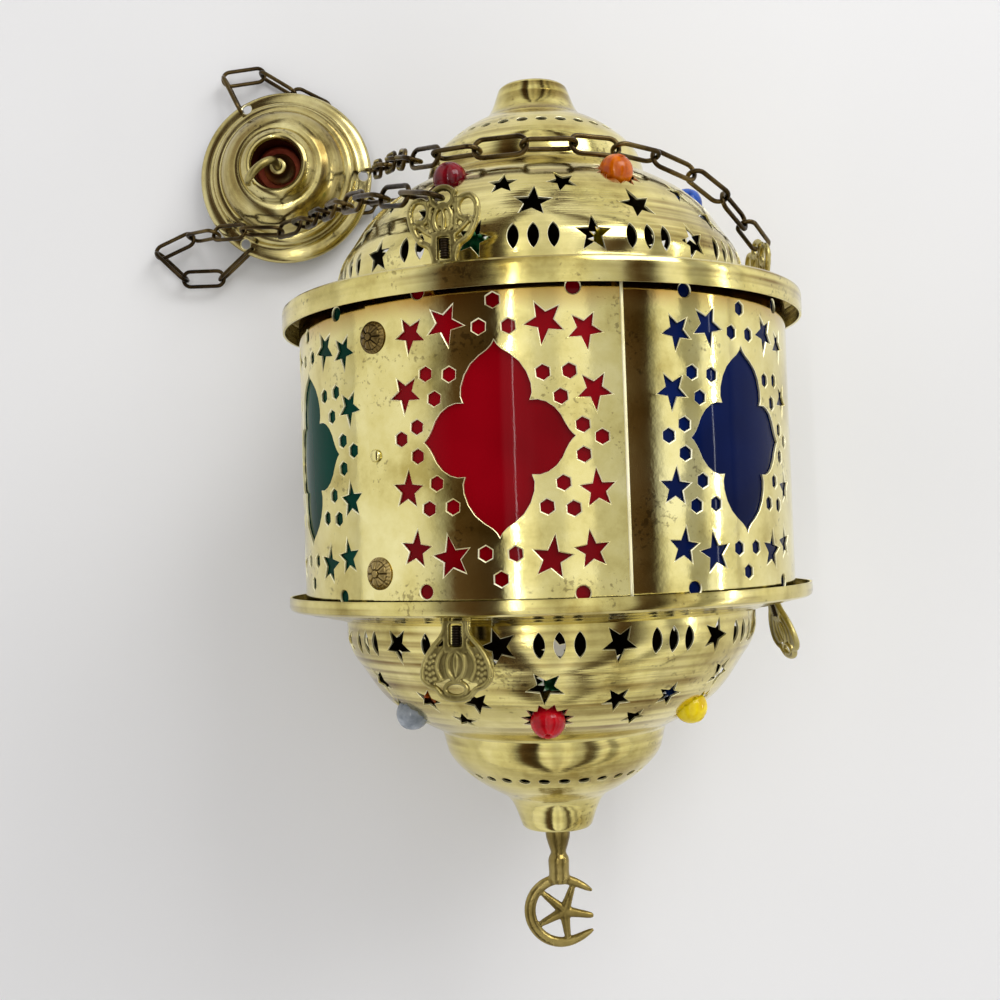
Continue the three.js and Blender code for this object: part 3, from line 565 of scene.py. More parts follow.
def pierced_sheet_tree():
    """Punches holes in a flat sheet, then bends it round the Y axis along a profile of (radius, height)."""
    tree, names, given = new_tree("pierced_sheet", {
        "Width": "Float", "Height": "Float", "Thickness": "Float", "Flat radius": "Float",
        "Middle angle": "Float", "Columns": "Int", "Rows": "Int", "Joined": "Bool", "Profile": "Object",
        "Punches": "Collection", "Finish": "Material", "Cut edge glint finish": "Material", "Inner finish": "Material",
    })
    size = node(tree, "ShaderNodeCombineXYZ",
                inputs={"X": given["Width"], "Y": given["Height"], "Z": given["Thickness"]})
    slab = node(tree, "GeometryNodeMeshCube",
                inputs={"Size": size, "Vertices X": given["Columns"], "Vertices Y": given["Rows"],
                        "Vertices Z": 2})

    # Punches set at the places given, each with its kind, turn, size, stretch and the middle of its stretch
    given_at = {name: node(tree, "GeometryNodeInputNamedAttribute", {"data_type": kind}, {"Name": name})
                for name, kind in hole_columns.items()}
    tools = node(tree, "GeometryNodeCollectionInfo",
                 inputs={"Collection": given["Punches"], "Separate Children": True, "Reset Children": True})
    turn = node(tree, "ShaderNodeCombineXYZ", inputs={"Z": given_at["turn"]})
    scale = node(tree, "ShaderNodeCombineXYZ",
                 inputs={"X": given_at["size"], "Y": given_at["size"], "Z": 1.0})
    placed = node(tree, "GeometryNodeInstanceOnPoints",
                  inputs={"Points": given["Geometry"], "Instance": tools, "Pick Instance": True,
                          "Instance Index": given_at["kind"], "Rotation": turn, "Scale": scale})
    solid = node(tree, "GeometryNodeRealizeInstances", inputs={"Geometry": placed})
    here = node(tree, "ShaderNodeSeparateXYZ", inputs={"Vector": node(tree, "GeometryNodeInputPosition")})
    reach = node(tree, "ShaderNodeMath", {"operation": "SUBTRACT"},
                 {0: here.outputs["X"], 1: given_at["centre"]})
    wide = node(tree, "ShaderNodeMath", {"operation": "MULTIPLY_ADD"},
                {0: reach, 1: given_at["stretch"], 2: given_at["centre"]})
    stretched = node(tree, "ShaderNodeCombineXYZ",
                     inputs={"X": wide, "Y": here.outputs["Y"], "Z": here.outputs["Z"]})
    cutters = node(tree, "GeometryNodeSetPosition", inputs={"Geometry": solid, "Position": stretched})
    punched = node(tree, "GeometryNodeMeshBoolean", {"operation": "DIFFERENCE", "solver": "MANIFOLD"},
                   {"Mesh 1": slab, "Mesh 2": cutters})

    # Sheared walls and their sloped edge get the cut-edge finish with its painted glint, the inner side its
    # own
    normal = node(tree, "ShaderNodeSeparateXYZ", inputs={"Vector": node(tree, "GeometryNodeInputNormal")})
    dressed = node(tree, "GeometryNodeSetMaterial", inputs={"Geometry": punched, "Material": given["Finish"]})
    steep = node(tree, "ShaderNodeMath", {"operation": "ABSOLUTE"}, {0: normal.outputs["Z"]})
    upright = node(tree, "ShaderNodeMath", {"operation": "LESS_THAN"}, {0: steep, 1: 0.95})
    edged = node(tree, "GeometryNodeSetMaterial",
                 inputs={"Geometry": dressed, "Selection": upright, "Material": given["Cut edge glint finish"]})
    inward = node(tree, "ShaderNodeMath", {"operation": "LESS_THAN"}, {0: normal.outputs["Z"], 1: -0.5})
    lined = node(tree, "GeometryNodeSetMaterial",
                 inputs={"Geometry": edged, "Selection": inward, "Material": given["Inner finish"]})

    # A full turn is open at its two ends, so that they join
    flat = node(tree, "ShaderNodeSeparateXYZ", inputs={"Vector": node(tree, "GeometryNodeInputPosition")})
    half = node(tree, "ShaderNodeMath", {"operation": "MULTIPLY"}, {0: given["Width"], 1: 0.49999})
    out = node(tree, "ShaderNodeMath", {"operation": "ABSOLUTE"}, {0: flat.outputs["X"]})
    outside = node(tree, "ShaderNodeMath", {"operation": "GREATER_THAN"}, {0: out, 1: half})
    across = node(tree, "ShaderNodeMath", {"operation": "ABSOLUTE"}, {0: normal.outputs["X"]})
    sideways = node(tree, "ShaderNodeMath", {"operation": "GREATER_THAN"}, {0: across, 1: 0.9})
    both = node(tree, "ShaderNodeMath", {"operation": "MULTIPLY"}, {0: outside, 1: sideways})
    ends = node(tree, "ShaderNodeMath", {"operation": "MULTIPLY"}, {0: both, 1: given["Joined"]})
    opened = node(tree, "GeometryNodeDeleteGeometry", {"domain": "FACE"},
                  {"Geometry": lined, "Selection": ends})

    # Bend: height picks the place on the profile, width is the angle, thickness follows the profile's normal
    share = node(tree, "ShaderNodeMath", {"operation": "DIVIDE"}, {0: flat.outputs["Y"], 1: given["Height"]})
    factor = node(tree, "ShaderNodeMath", {"operation": "SUBTRACT"}, {0: 0.5, 1: share})
    line = node(tree, "GeometryNodeObjectInfo", inputs={"Object": given["Profile"]})
    on_line = node(tree, "GeometryNodeSampleCurve", {"mode": "FACTOR", "use_all_curves": True},
                   {"Curves": line.outputs["Geometry"], "Factor": factor})
    spot = node(tree, "ShaderNodeSeparateXYZ", inputs={"Vector": on_line.outputs["Position"]})
    way = node(tree, "ShaderNodeSeparateXYZ", inputs={"Vector": on_line.outputs["Tangent"]})
    middle = node(tree, "ShaderNodeMath", {"operation": "MULTIPLY"}, {0: given["Thickness"], 1: 0.5})
    depth = node(tree, "ShaderNodeMath", {"operation": "SUBTRACT"}, {0: flat.outputs["Z"], 1: middle})
    inset = node(tree, "ShaderNodeMath", {"operation": "MULTIPLY"}, {0: depth, 1: way.outputs["Y"]})
    radius = node(tree, "ShaderNodeMath", {"operation": "SUBTRACT"}, {0: spot.outputs["X"], 1: inset})
    height = node(tree, "ShaderNodeMath", {"operation": "MULTIPLY_ADD"},
                  {0: depth, 1: way.outputs["X"], 2: spot.outputs["Y"]})
    arc = node(tree, "ShaderNodeMath", {"operation": "DIVIDE"},
               {0: flat.outputs["X"], 1: given["Flat radius"]})
    angle = node(tree, "ShaderNodeMath", {"operation": "ADD"}, {0: arc, 1: given["Middle angle"]})
    sine = node(tree, "ShaderNodeMath", {"operation": "SINE"}, {0: angle})
    cosine = node(tree, "ShaderNodeMath", {"operation": "COSINE"}, {0: angle})
    bent_x, bent_z = (node(tree, "ShaderNodeMath", {"operation": "MULTIPLY"}, {0: radius, 1: part})
                      for part in (sine, cosine))
    bent = node(tree, "ShaderNodeCombineXYZ", inputs={"X": bent_x, "Y": height, "Z": bent_z})
    marked = node(tree, "GeometryNodeStoreNamedAttribute", {"data_type": "FLOAT", "domain": "POINT"},
                  {"Geometry": opened, "Name": "along_profile", "Value": flat.outputs["Y"]})
    shaped = node(tree, "GeometryNodeSetPosition", inputs={"Geometry": marked, "Position": bent})
    merged = node(tree, "GeometryNodeMergeByDistance",
                  inputs={"Geometry": shaped, "Selection": given["Joined"], "Distance": 1e-5})
    real = node(tree, "GeometryNodeRealizeInstances", inputs={"Geometry": merged})
    node(tree, "NodeGroupOutput", inputs={"Geometry": real})
    return tree, names


sheet_tree, sheet_inputs = pierced_sheet_tree()
OUTER_SLOT, CUT_SLOT, INNER_SLOT = 0, 1, 2


def profile_line(name, points):
    """A poly curve of (radius, height) in mm."""
    data = bpy.data.curves.new(name, "CURVE")
    data.dimensions = "3D"
    spline = data.splines.new("POLY")
    spline.points.add(len(points) - 1)
    for point, (r, h) in zip(spline.points, points):
        point.co = (r * MM, h * MM, 0, 1)
    return bpy.data.objects.new(name, data)


def lengths_along(points):
    """The length walked to each point of a line."""
    lengths = [0.0]
    for a, b in zip(points, points[1:]):
        lengths.append(lengths[-1] + math.dist(a, b))
    return lengths


def pierced(name, profile, holes, angles, flat_radius, finish, columns, rows, place, joined=False):
    """One pierced sheet; holes: (kind, degrees round, mm along the profile, turn, size, local radius)."""
    low_angle, high_angle = angles
    middle = (low_angle + high_angle) / 2
    width = math.radians(high_angle - low_angle) * flat_radius
    height = lengths_along(profile)[-1]
    kinds, hole_angles, downs, turns, sizes, radii = zip(*holes)
    # Hole angles are counted on from the sheet's own first edge
    xs = [math.radians((a - low_angle) % 360 + low_angle - middle) * flat_radius for a in hole_angles]
    mesh = raw_mesh(name + "_holes", [(x * MM, (height / 2 - down) * MM, 0) for x, down in zip(xs, downs)])
    values_of = {
        "kind": [punch_numbers[kind] for kind in kinds],
        "turn": [math.radians(turn) for turn in turns],
        "size": sizes,
        "stretch": [flat_radius / radius for radius in radii],
        "centre": [x * MM for x in xs],
    }
    for key, values in values_of.items():
        mesh.attributes.new(key, hole_columns[key], "POINT").data.foreach_set("value", values)
    made = through_tree(name, mesh, sheet_tree, sheet_inputs, {
        "Width": width * MM, "Height": height * MM, "Thickness": sheet * MM, "Flat radius": flat_radius * MM,
        "Middle angle": math.radians(middle), "Columns": columns, "Rows": rows, "Joined": joined,
        "Profile": profile_line(name + "_profile", profile), "Punches": punch_set, "Finish": finish,
        "Cut edge glint finish": cut_edge_glint_brass, "Inner finish": sooty_brass,
    })
    # The punching leaves an empty first slot
    made.data.materials.pop(index=0)
    made.data.transform(place)
    made.data.set_sharp_from_angle(angle=math.radians(24))
    return made


def place_at_height(profile, height):
    """mm along a profile, and its radius there, where it first passes a height."""
    lengths = lengths_along(profile)
    for i, ((r0, h0), (r1, h1)) in enumerate(zip(profile, profile[1:])):
        if min(h0, h1) <= height <= max(h0, h1) and abs(h1 - h0) > 1e-9:
            share = (height - h0) / (h1 - h0)
            return lengths[i] + share * (lengths[i + 1] - lengths[i]), r0 + share * (r1 - r0)
    raise ValueError("no such height on the profile: %s" % height)


def ride_body(piece, body, slot, *nodes):
    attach(piece, body)
    if nodes:
        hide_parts(*nodes)


# Domes

dome_stations = [(79.0, 2.2), (78.6, 6.0), (78.3, 12), (76.2, 17.5), (72.8, 22.5), (66.7, 31.5), (61.4, 37.0),
                 (54.7, 41.8), (48.6, 45.4)]
waist_stations = [(44.6, 47.4), (43.2, 48.6), (42.6, 50.4), (41.9, 53.4), (40.8, 57.0), (38.0, 61.0),
                  (34.5, 64.4), (30.6, 67.6), (26.0, 70.6), (22.4, 72.6), (19.6, 74.2), (17.6, 76.4),
                  (16.0, 79.4), (14.8, 82.6), (13.9, 85.2), (13.2, 86.7), (11.8, 87.4)]
upper_rim = [(80.2, 0.5), (84, 0.1), (90, 0.25), (96, 0.0), (98.2, 0.0), (99.3, -0.35), (99.85, -1.1),
             (100, -2.2), (99.9, -4.5), (100, -7.2), (99.8, -9.0)]
lower_rim = [(80.4, 4.4), (82.2, 3.6), (84.4, 3.1), (86.5, 2.9), (88.5, 2.0), (91.0, 1.8), (93.5, 1.4),
             (94.6, 0.7), (97.4, 0.5), (98.9, 0.1), (99.7, -0.6), (100, -1.8), (99.9, -3.6), (99.8, -5.0)]
sooty_radius = 84
first_stars = {"upper": -16, "lower": -13}
# Middle and small stars between two beads: turn from the bead, rise and size
middle_stars = {"upper": (24, (0, 30)), "lower": (26, (0,))}
small_stars = {"upper": [(21, 32.5, 0.86), (39, 32.5, 0.86)],
               "lower": [(21, 31.5, 0.86), (39, 31.5, 0.86), (30, 39.0, 0.8)]}


def dome_profile(side, rim):
    """Outer line from the neck's end to the rim's lip; the dome's neck is open, the bowl's is closed."""
    end = [(10.4, dome_rise)] if side > 0 else [(2.3, dome_rise), (6.3, dome_rise), (10.4, dome_rise)]
    body = rounded([*end, *reversed(waist_stations)], 4) + rounded(list(reversed(dome_stations)), 5)
    line = [(float(r), float(t)) for r, t in body] + rim
    plate = upper_plate if side > 0 else lower_plate
    return [(r, plate + side * t) for r, t in line]


def dome_holes(profile, side, row):
    """Rows of punched holes, the same tools on both domes."""
    holes = []
    plate = upper_plate if side > 0 else lower_plate

    def at(kind, angle, rise, turn=0.0, size=1.0):
        along, radius = place_at_height(profile, plate + side * rise)
        if side < 0 and kind == "dome_star":
            turn += 180
        holes.append((kind, angle, along, turn, size, radius))
    for i in range(12):
        star = first_stars[row] + 30 * i
        at("dome_star", star, 11.4, 9 * ((i * 7) % 5 - 2), 1.02)
        for offset in (-5, 0, 5):
            at("leaf", star + 15 + offset, 11.4)
    middle_rise, middle_angles = middle_stars[row]
    for i in range(6):
        bead = bead_angles[row] + 60 * i
        at("bead_star", bead, bead_rise)
        for angle in middle_angles:
            at("dome_star", bead + angle, middle_rise, 7 * ((i * 3) % 5 - 2) + 8, 1.08)
        for angle, rise, size in small_stars[row]:
            at("dome_star", bead + angle, rise, 11 * ((i * 5 + angle) % 4 - 1), size)
    for i in range(30):
        at("oval", 12 * i + 5, 64.6 if side > 0 else 64.0)
    return holes


def make_domes():
    top = dome_profile(1, upper_rim)
    bottom = list(reversed(dome_profile(-1, lower_rim)))
    for name, profile, side, row in (("top_dome", top, 1, "upper"), ("bottom_bowl", bottom, -1, "lower")):
        rows = int(lengths_along(profile)[-1] / 1.15)
        # The joining line lies between two rows of holes, at the back
        cut = first_stars[row] + 7.4 - 180
        piece = pierced("spun_" + name, profile, dome_holes(profile, side, row), (cut, cut + 360), 60.0,
                        spun_brass, 121, rows, lying, joined=True)
        # Only the bowl of the dome is sooty inside: the rim round the body stayed clean
        for face in piece.data.polygons:
            _, _, z = lying.inverted() @ face.center
            if math.hypot(face.center.x, z) > sooty_radius * MM and face.material_index == INNER_SLOT:
                face.material_index = OUTER_SLOT
        ride_body(piece, "lantern", "brass", name)


make_domes()


# Body sheets

wrap_step = (360 - 2 * neighbour_angle) / 4
panel_angles = [first_panel] + [first_panel + neighbour_angle + wrap_step * i for i in range(5)]
closing_from, closing_to = -38.3, 16.5
wrap_lap = 4.5
pane_edge, pane_inset, pane_thickness, pane_half_angle = 1.2, 2, 0.8, 26.5


def panel_holes(panel, radius, lean=0.0):
    """One panel's window, twelve stars, twenty-four dots and four edge holes; lean lifts its left side."""
    holes = []

    def at(kind, across, height, turn=0.0, size=1.0):
        height += lean * (0.5 - across / 60)
        holes.append((kind, panel + math.degrees(across / radius), body_high - height, turn, size, radius))
    at("window", 0, 0.4)
    for sx in (-1, 1):
        for sy in (-1, 1):
            half = 180 if sy > 0 else 0
            at("star", sx * 29.5, sy * 35.5, half + sx * 7, 0.92)
            at("star", sx * 16.5, sy * 38.0, half - sx * 9, 1.04)
            at("star", sx * 32.0, sy * 16.0, half + sx * 4, 0.94)
            for x, y in ((15.5, 21.5), (24.0, 22.0), (21.0, 13.8), (27.8, 4.8)):
                at("hexagon", sx * x, sy * y, 4 * sx)
            at("hexagon", sx * 4.9, sy * 36.5, 3 * sx)
            at("round", sx * 26.0, 49.0 * sy)
        at("hexagon", sx * 34.0, 1.0)
    at("hexagon", 0, 45.0)
    at("hexagon", 0, -44.6)
    return holes


def make_body_sheets():
    wrap_holes = [hole for panel in panel_angles[1:] for hole in panel_holes(panel, body_radius)]
    # The wrap ends at the hem, so that its hidden lap doesn't close the holes there
    wrap_ends = (closing_to - 0.9, closing_from + wrap_lap + 360)
    front_holes = panel_holes(panel_angles[0], closing_radius, 1.9)
    for name, radius, holes, ends, columns in (
            ("body_wrap", body_radius, wrap_holes, wrap_ends, 127),
            ("closing_panel", closing_radius, front_holes, (closing_from, closing_to), 25)):
        profile = [(radius, body_high), (radius, body_low)]
        piece = pierced("pierced_" + name, profile, holes, ends, radius, wrap_brass, columns, 40, lying)
        ride_body(piece, "lantern", "brass", name)
    # The closing panel's right edge is folded back in a narrow hem, in the near-white cut-edge brass as a
    # painted highlight
    heights = np.linspace(body_low, body_high, 24)
    line = [round_axis(closing_to - 0.35, closing_radius - 0.12, h) for h in heights]
    face = round_axis(closing_to, 1, 0) - round_axis(closing_to, 0, 0)
    vertices, faces = tube_mesh(line, (0.62, 0.42), 10, face)
    hem = mesh_object("closing_panel_hem", [v * MM for v in vertices], faces, cut_edge_glint_brass)
    ride_body(hem, "lantern", "brass")


make_body_sheets()


def make_panes():
    columns = 40
    heights = [float(h) for h in np.linspace(body_low + pane_inset, body_high - pane_inset, 12)]
    # The vertices go round the sheet's section at each height: along its outer face, back along the inner
    across = list(range(columns + 1))
    section = [(k, 0) for k in across] + [(k, pane_thickness) for k in reversed(across)]
    count = len(section)
    for i, middle in enumerate(panel_angles):
        radius = (body_radius if i else closing_radius) - sheet - seat_gap
        low, high = middle - pane_half_angle, middle + pane_half_angle
        if i == 0:
            low, high = closing_from + wrap_lap + pane_edge, closing_to - 1.3
        vertices = [round_axis(low + (high - low) * k / columns, radius - depth, h) * MM
                    for h in heights for k, depth in section]
        faces = ring_faces(len(heights), count)
        for first in (0, count * (len(heights) - 1)):
            faces += [(first + k, first + k + 1, first + count - 2 - k, first + count - 1 - k)
                      for k in range(columns)]
        name = "window_pane_%d" % (i + 1)
        pane = mesh_object("coloured_" + name, vertices, faces, pane_finishes[i])
        ride_body(pane, "lantern", ("red", "blue", "green")[i % 3] + "_glass", name)


make_panes()


# Glass beads, each a slightly flat ball with a bored end

def bead_place(angle, side):
    """The matrix that puts a bead's own Z along the dome's outward direction."""
    # The dome's wall between the two CAD stations on either side of the bead
    (r0, h0), (r1, h1) = (66.7, 31.5), (54.7, 41.8)
    radius = r0 + (r1 - r0) * (bead_rise - h0) / (h1 - h0)
    along = Vector((r1 - r0, h1 - h0)).normalized()
    out, up = along.y, -along.x
    plate = upper_plate if side > 0 else lower_plate
    a = math.radians(angle)
    centre = round_axis(angle, radius + out * bead_proud, plate + side * (bead_rise + up * bead_proud))
    outward = Vector((math.sin(a) * out, side * up, math.cos(a) * out))
    return Matrix.Translation(centre * MM) @ outward.to_track_quat("Z", "Y").to_matrix().to_4x4()


def make_beads():
    bore = [(0.0, 3.9), (0.6, 4.0), (0.65, 5.2), (1.0, 5.75), (1.6, 5.9)]
    ball = [(bead_radius * math.cos(b), 6.02 * math.sin(b)) for b in np.radians(np.linspace(-72, 72, 17))]
    profile = [(r, -h) for r, h in bore] + ball + list(reversed(bore))
    for side, row, colours in (
            (1, "upper", ("dark_red", "orange", "blue", "yellow", "green", "grey")),
            (-1, "lower", ("red", "yellow", "blue", "green", "orange", "grey"))):
        for i, colour in enumerate(colours):
            name = "%s_bead_%d" % (row, i + 1)
            place = bead_place(bead_angles[row] + 60 * i, side)
            bead = turned("glass_" + name, profile, place, bead_finishes[colour], 28)
            ride_body(bead, "lantern", colour.replace("dark_", "") + "_glass", name)


make_beads()


# Studs down the seam

def stud_height(f, b):
    """Height in mm of a stud's face at a share of its radius: domed eye, ring of petals, beaded rim."""
    dome = 2.35 * (1 - f ** 2.6) ** 0.75
    if f < 0.22:
        return dome
    if f < 0.3:
        return dome - 0.7
    if f < 0.74:
        return dome - 0.15 - 0.75 * (1 - abs(math.sin(4 * b)) ** 0.6)
    if f < 0.8:
        return dome - 0.6
    return max(0.0, dome - 0.1 - 0.4 * (1 - abs(math.sin(12 * b)) ** 0.8))


def make_studs():
    seam = -36.4
    a = math.radians(seam)
    out = Vector((math.sin(a), 0, math.cos(a))).to_track_quat("Z", "Y").to_matrix().to_4x4()

    def on_seam(height):
        return Matrix.Translation(round_axis(seam, closing_radius + seat_gap, height) * MM) @ out
    rings, turns = 26, 72
    shares = [max(j / rings, 0.001) for j in range(rings + 1)]
    face = [(5.5 * f * math.cos(b), 5.5 * f * math.sin(b), stud_height(f, b))
            for f in shares for b in around(turns)]
    back = [(5.3 * math.cos(b), 5.3 * math.sin(b), -0.28) for b in around(turns)]
    ends = [tuple(reversed(range(turns))), tuple(range(turns * (rings + 1), turns * (rings + 2)))]
    for i, height in enumerate((38, -41)):
        place = on_seam(height)
        vertices = [place @ metres(*q) for q in face + back]
        name = "rosette_%d" % (i + 1)
        stud = mesh_object(name, vertices, ring_faces(rings + 2, turns) + ends, dark_stud, 60)
        ride_body(stud, "lantern", "dark_bronze", "rosette_stud_%d" % (i + 1))
    head = [(0, -0.28), (2.15, -0.28), (2.2, 0.0), (2.12, 0.4), (1.7, 0.85), (1.0, 1.1), (0.3, 1.18),
            (0, 1.2)]
    rivet = turned("plain_rivet", head, on_seam(-1.7), wrap_brass, 32)
    ride_body(rivet, "lantern", "brass", "seam_rivet")


make_studs()


# Cast ears: the same lyre casting openwork above and with a granulated web below

def strand(points, radii, per_span=5):
    return tube_mesh([(x, y, 0.0) for x, y in rounded(points, per_span)], radii, 10, (0, 0, 1))


def bar(points, thickness):
    return slab_mesh(points, -thickness, thickness)


def ear_foot():
    """The slotted foot plate."""
    return [bar([(-4.6, 0), (4.6, 0), (4.4, 2.2), (-4.4, 2.2)], 1.1),
            bar([(-4.2, 9.9), (4.2, 9.9), (3.8, 11.6), (-3.8, 11.6)], 1.1),
            bar([(2.3, 0.6), (4.5, 0.6), (4.3, 10.8), (2.3, 10.8)], 1.05),
            bar([(-4.5, 0.6), (-2.3, 0.6), (-2.3, 10.8), (-4.3, 10.8)], 1.05)]


def almond(s):
    """One side of the pointed oval in the ear's middle."""
    return strand([(0, 10.6), (s * 2.5, 12.8), (s * 3.1, 15.8), (s * 2.3, 18.8), (0, 21.0)], (0.85, 1.25))


def crown_ring(centre, half_width, half_height, radii, count):
    line = [(half_width * math.sin(a), centre - half_height * math.cos(a), 0.0) for a in around(count)]
    return tube_mesh(line, radii, 10, (0, 0, 1), True)


def openwork_ear():
    """The upper ears: a lyre with curled arms, open between its strands."""
    parts = ear_foot() + [crown_ring(23.0, 4.0, 3.3, (1.1, 1.2), 24)]
    for s in (-1, 1):
        parts.append(almond(s))
        parts.append(strand([(s * 3.6, 3.0), (s * 5.2, 7.0), (s * 8.4, 9.0), (s * 10.6, 12.4),
                             (s * 12.0, 16.4), (s * 11.9, 20.2), (s * 9.9, 22.6), (s * 7.1, 22.4),
                             (s * 5.3, 20.2), (s * 5.3, 17.4), (s * 7.0, 15.4), (s * 9.6, 15.6)],
                            (1.15, 1.2)))
        parts.append(strand([(s * 3.8, 10.6), (s * 6.3, 12.2), (s * 9.0, 14.4), (s * 10.4, 15.0)],
                            (1.0, 1.1)))
        parts.append(strand([(s * 3.9, 11.4), (s * 4.6, 14.6), (s * 4.7, 18.0), (s * 3.9, 21.2)],
                            (0.75, 1.05)))
        for x, y, r in ((8.6, 9.4, 1.15), (10.6, 14.4, 1.1), (5.0, 12.4, 1.1), (5.4, 21.6, 1.2),
                        (4.6, 24.4, 1.1), (12.1, 18.4, 1.1)):
            parts.append(ball_mesh((s * x, y, 0.2), r, 1.15))
    parts.append(bar([(-0.75, 13.4), (0, 11.2), (0.75, 13.4), (0.9, 16.0), (0, 19.8), (-0.9, 16.0)], 1.0))
    return parts


def onion_ear():
    """The lower ears: an onion-shaped border round a web full of small balls."""
    half = [(4.2, 1.5), (4.3, 4.6), (5.6, 7.0), (8.0, 9.6), (10.4, 13.0), (11.9, 17.0), (11.8, 20.2),
            (9.7, 22.4), (7.0, 23.4), (4.9, 25.6), (2.2, 26.6)]
    # The web stops short of the crown's opening, which stays clear for a hook
    web = [(3.6, 9.0), (7.4, 10.2), (10.2, 14.0), (11.4, 17.4), (11.2, 19.8), (9.2, 21.6), (5.4, 21.4),
           (3.2, 20.2)]
    border, field = (right + [(-x, y) for x, y in reversed(right)] for right in (half, web))
    parts = ear_foot() + [strand(border, (0.95, 1.25)), bar(field, 0.55),
                          crown_ring(23.5, 3.9, 2.3, (0.85, 1.1), 18)]
    for s in (-1, 1):
        parts.append(almond(s))
        parts.append(strand([(s * 4.2, 10.4), (s * 6.4, 13.6), (s * 6.8, 17.0), (s * 5.2, 20.6)],
                            (0.7, 1.15)))
        for row in range(5):
            for k in range(3):
                x, y = 8.1 + 1.25 * k - 0.12 * (row - 2) ** 2, 12.6 + 1.9 * row + 0.5 * (k % 2)
                parts.append(ball_mesh((s * x, y, 0.5), 0.62, 1.0, 8))
    parts.append(bar([(-0.7, 13.4), (0, 11.4), (0.7, 13.4), (0.85, 16.0), (0, 19.6), (-0.85, 16.0)], 1.05))
    return parts


def screw_profile():
    """A short machine screw seen in the slot: ridges 0.85 mm apart."""
    line = [(0.0, -3.4)]
    for k in range(8):
        z = -3.4 + 0.85 * k
        line += [(1.45, z), (1.75, z + 0.28), (1.45, z + 0.56)]
    return line + [(0.0, 3.3)]


def make_ears():
    lower_leans = [4, 16, 4]
    masters = {"upper": fused("openwork_ear", openwork_ear(), 0.34, cast_brass, Matrix.Identity(4), relax=3),
               "lower": fused("onion_ear", onion_ear(), 0.32, cast_brass, Matrix.Identity(4))}
    for i, angle in enumerate(ear_angles):
        a = math.radians(angle)
        round_way = Vector((math.cos(a), 0, -math.sin(a)))
        out = Vector((math.sin(a), 0, math.cos(a)))
        standing = Matrix((round_way, Vector((0, 1, 0)), out)).transposed().to_4x4()
        for row, side in (("upper", 1), ("lower", -1)):
            plate = upper_plate if side > 0 else lower_plate
            lean = 0.0 if side > 0 else math.radians(lower_leans[i])
            local = Matrix.Rotation(side * lean, 4, "X")
            if side < 0:
                local = local @ Matrix.Rotation(math.pi, 4, "Z")
            foot = round_axis(angle, ear_circle, plate + side * (seat_gap + math.sin(lean))) * MM
            place = Matrix.Translation(foot) @ standing @ local
            name = "%s_ear_%d" % (row, i + 1)
            mesh = masters[row].data.copy()
            mesh.transform(place)
            ride_body(in_scene("cast_" + name, mesh), "lantern", "cast_brass", name)
            slot = place @ Matrix.Translation(metres(0, 6.05, -0.2)) @ Matrix.Rotation(math.pi / 2, 4, "X")
            screw = turned("slot_screw_" + name, screw_profile(), slot, steel_screw, 20)
            ride_body(screw, "lantern", "dark_bronze")
    for master in masters.values():
        bpy.data.objects.remove(master)


make_ears()


# Finial: turned stem, crescent and five-armed star in one casting

def make_finial():
    # Radius and height over the neck's end
    stem = [(0, 34.0), (2.0, 34.0), (2.0, -0.3), (4.7, -0.3), (4.8, -2.6), (4.6, -4.4), (3.8, -7.2),
            (3.0, -9.6), (3.0, -10.4), (3.8, -11.9), (4.1, -13.4), (4.0, -15.4), (3.9, -17.6), (4.1, -20.0),
            (3.6, -21.8), (0, -22.4)]
    stem_sides = 24
    vertices = [Vector((r * math.cos(a), neck_end + h, r * math.sin(a)))
                for r, h in stem for a in around(stem_sides)]
    parts = [(vertices, ring_faces(len(stem), stem_sides))]
    # The crescent's band, from horn to horn: angle, outer radius, half width
    centre = neck_end - 32.6
    half_band = [(31, 15.0, 0.5), (36, 14.8, 0.95), (43, 14.5, 1.3), (52, 14.2, 1.55), (64, 14.0, 1.75),
                 (80, 14.0, 1.9), (100, 14.0, 2.0), (125, 14.0, 2.1), (150, 14.0, 2.2), (180, 14.0, 2.25)]
    whole_band = half_band + [(360 - a, outer, half) for a, outer, half in reversed(half_band[:-1])]
    band, widths = [], []
    for a, outer, half in rounded(whole_band, 4):
        b, middle = math.radians(a), outer - half
        band.append((middle * math.cos(b), centre + middle * math.sin(b), 0.0))
        widths.append((half, 0.6 + 0.45 * half))
    parts.append(tube_mesh(band, widths, 14, (0, 0, 1)))
    # The star's arms from its middle: angle and length, each with its half width and thickness on the way out
    star_x, star_y = 1.5, centre - 0.2
    arm_widths = [(2.3, 1.7), (1.95, 1.5), (1.6, 1.35), (1.4, 1.2), (1.1, 1.0), (0.6, 0.6)]
    for a, length in ((139, 11.6), (70, 11.0), (-10, 11.4), (-84, 11.0), (207, 11.2)):
        b = math.radians(a)
        arm = [(star_x + length * f * math.cos(b), star_y + length * f * math.sin(b), 0.0)
               for f in (0.0, 0.25, 0.5, 0.75, 0.93, 1.0)]
        parts.append(tube_mesh(arm, arm_widths, 12, (0, 0, 1)))
    finial = fused("cast_crescent_finial", parts, 0.3, dull_cast, lying)
    ride_body(finial, "lantern", "cast_brass", "crescent_finial")


make_finial()


# Candle cup inside

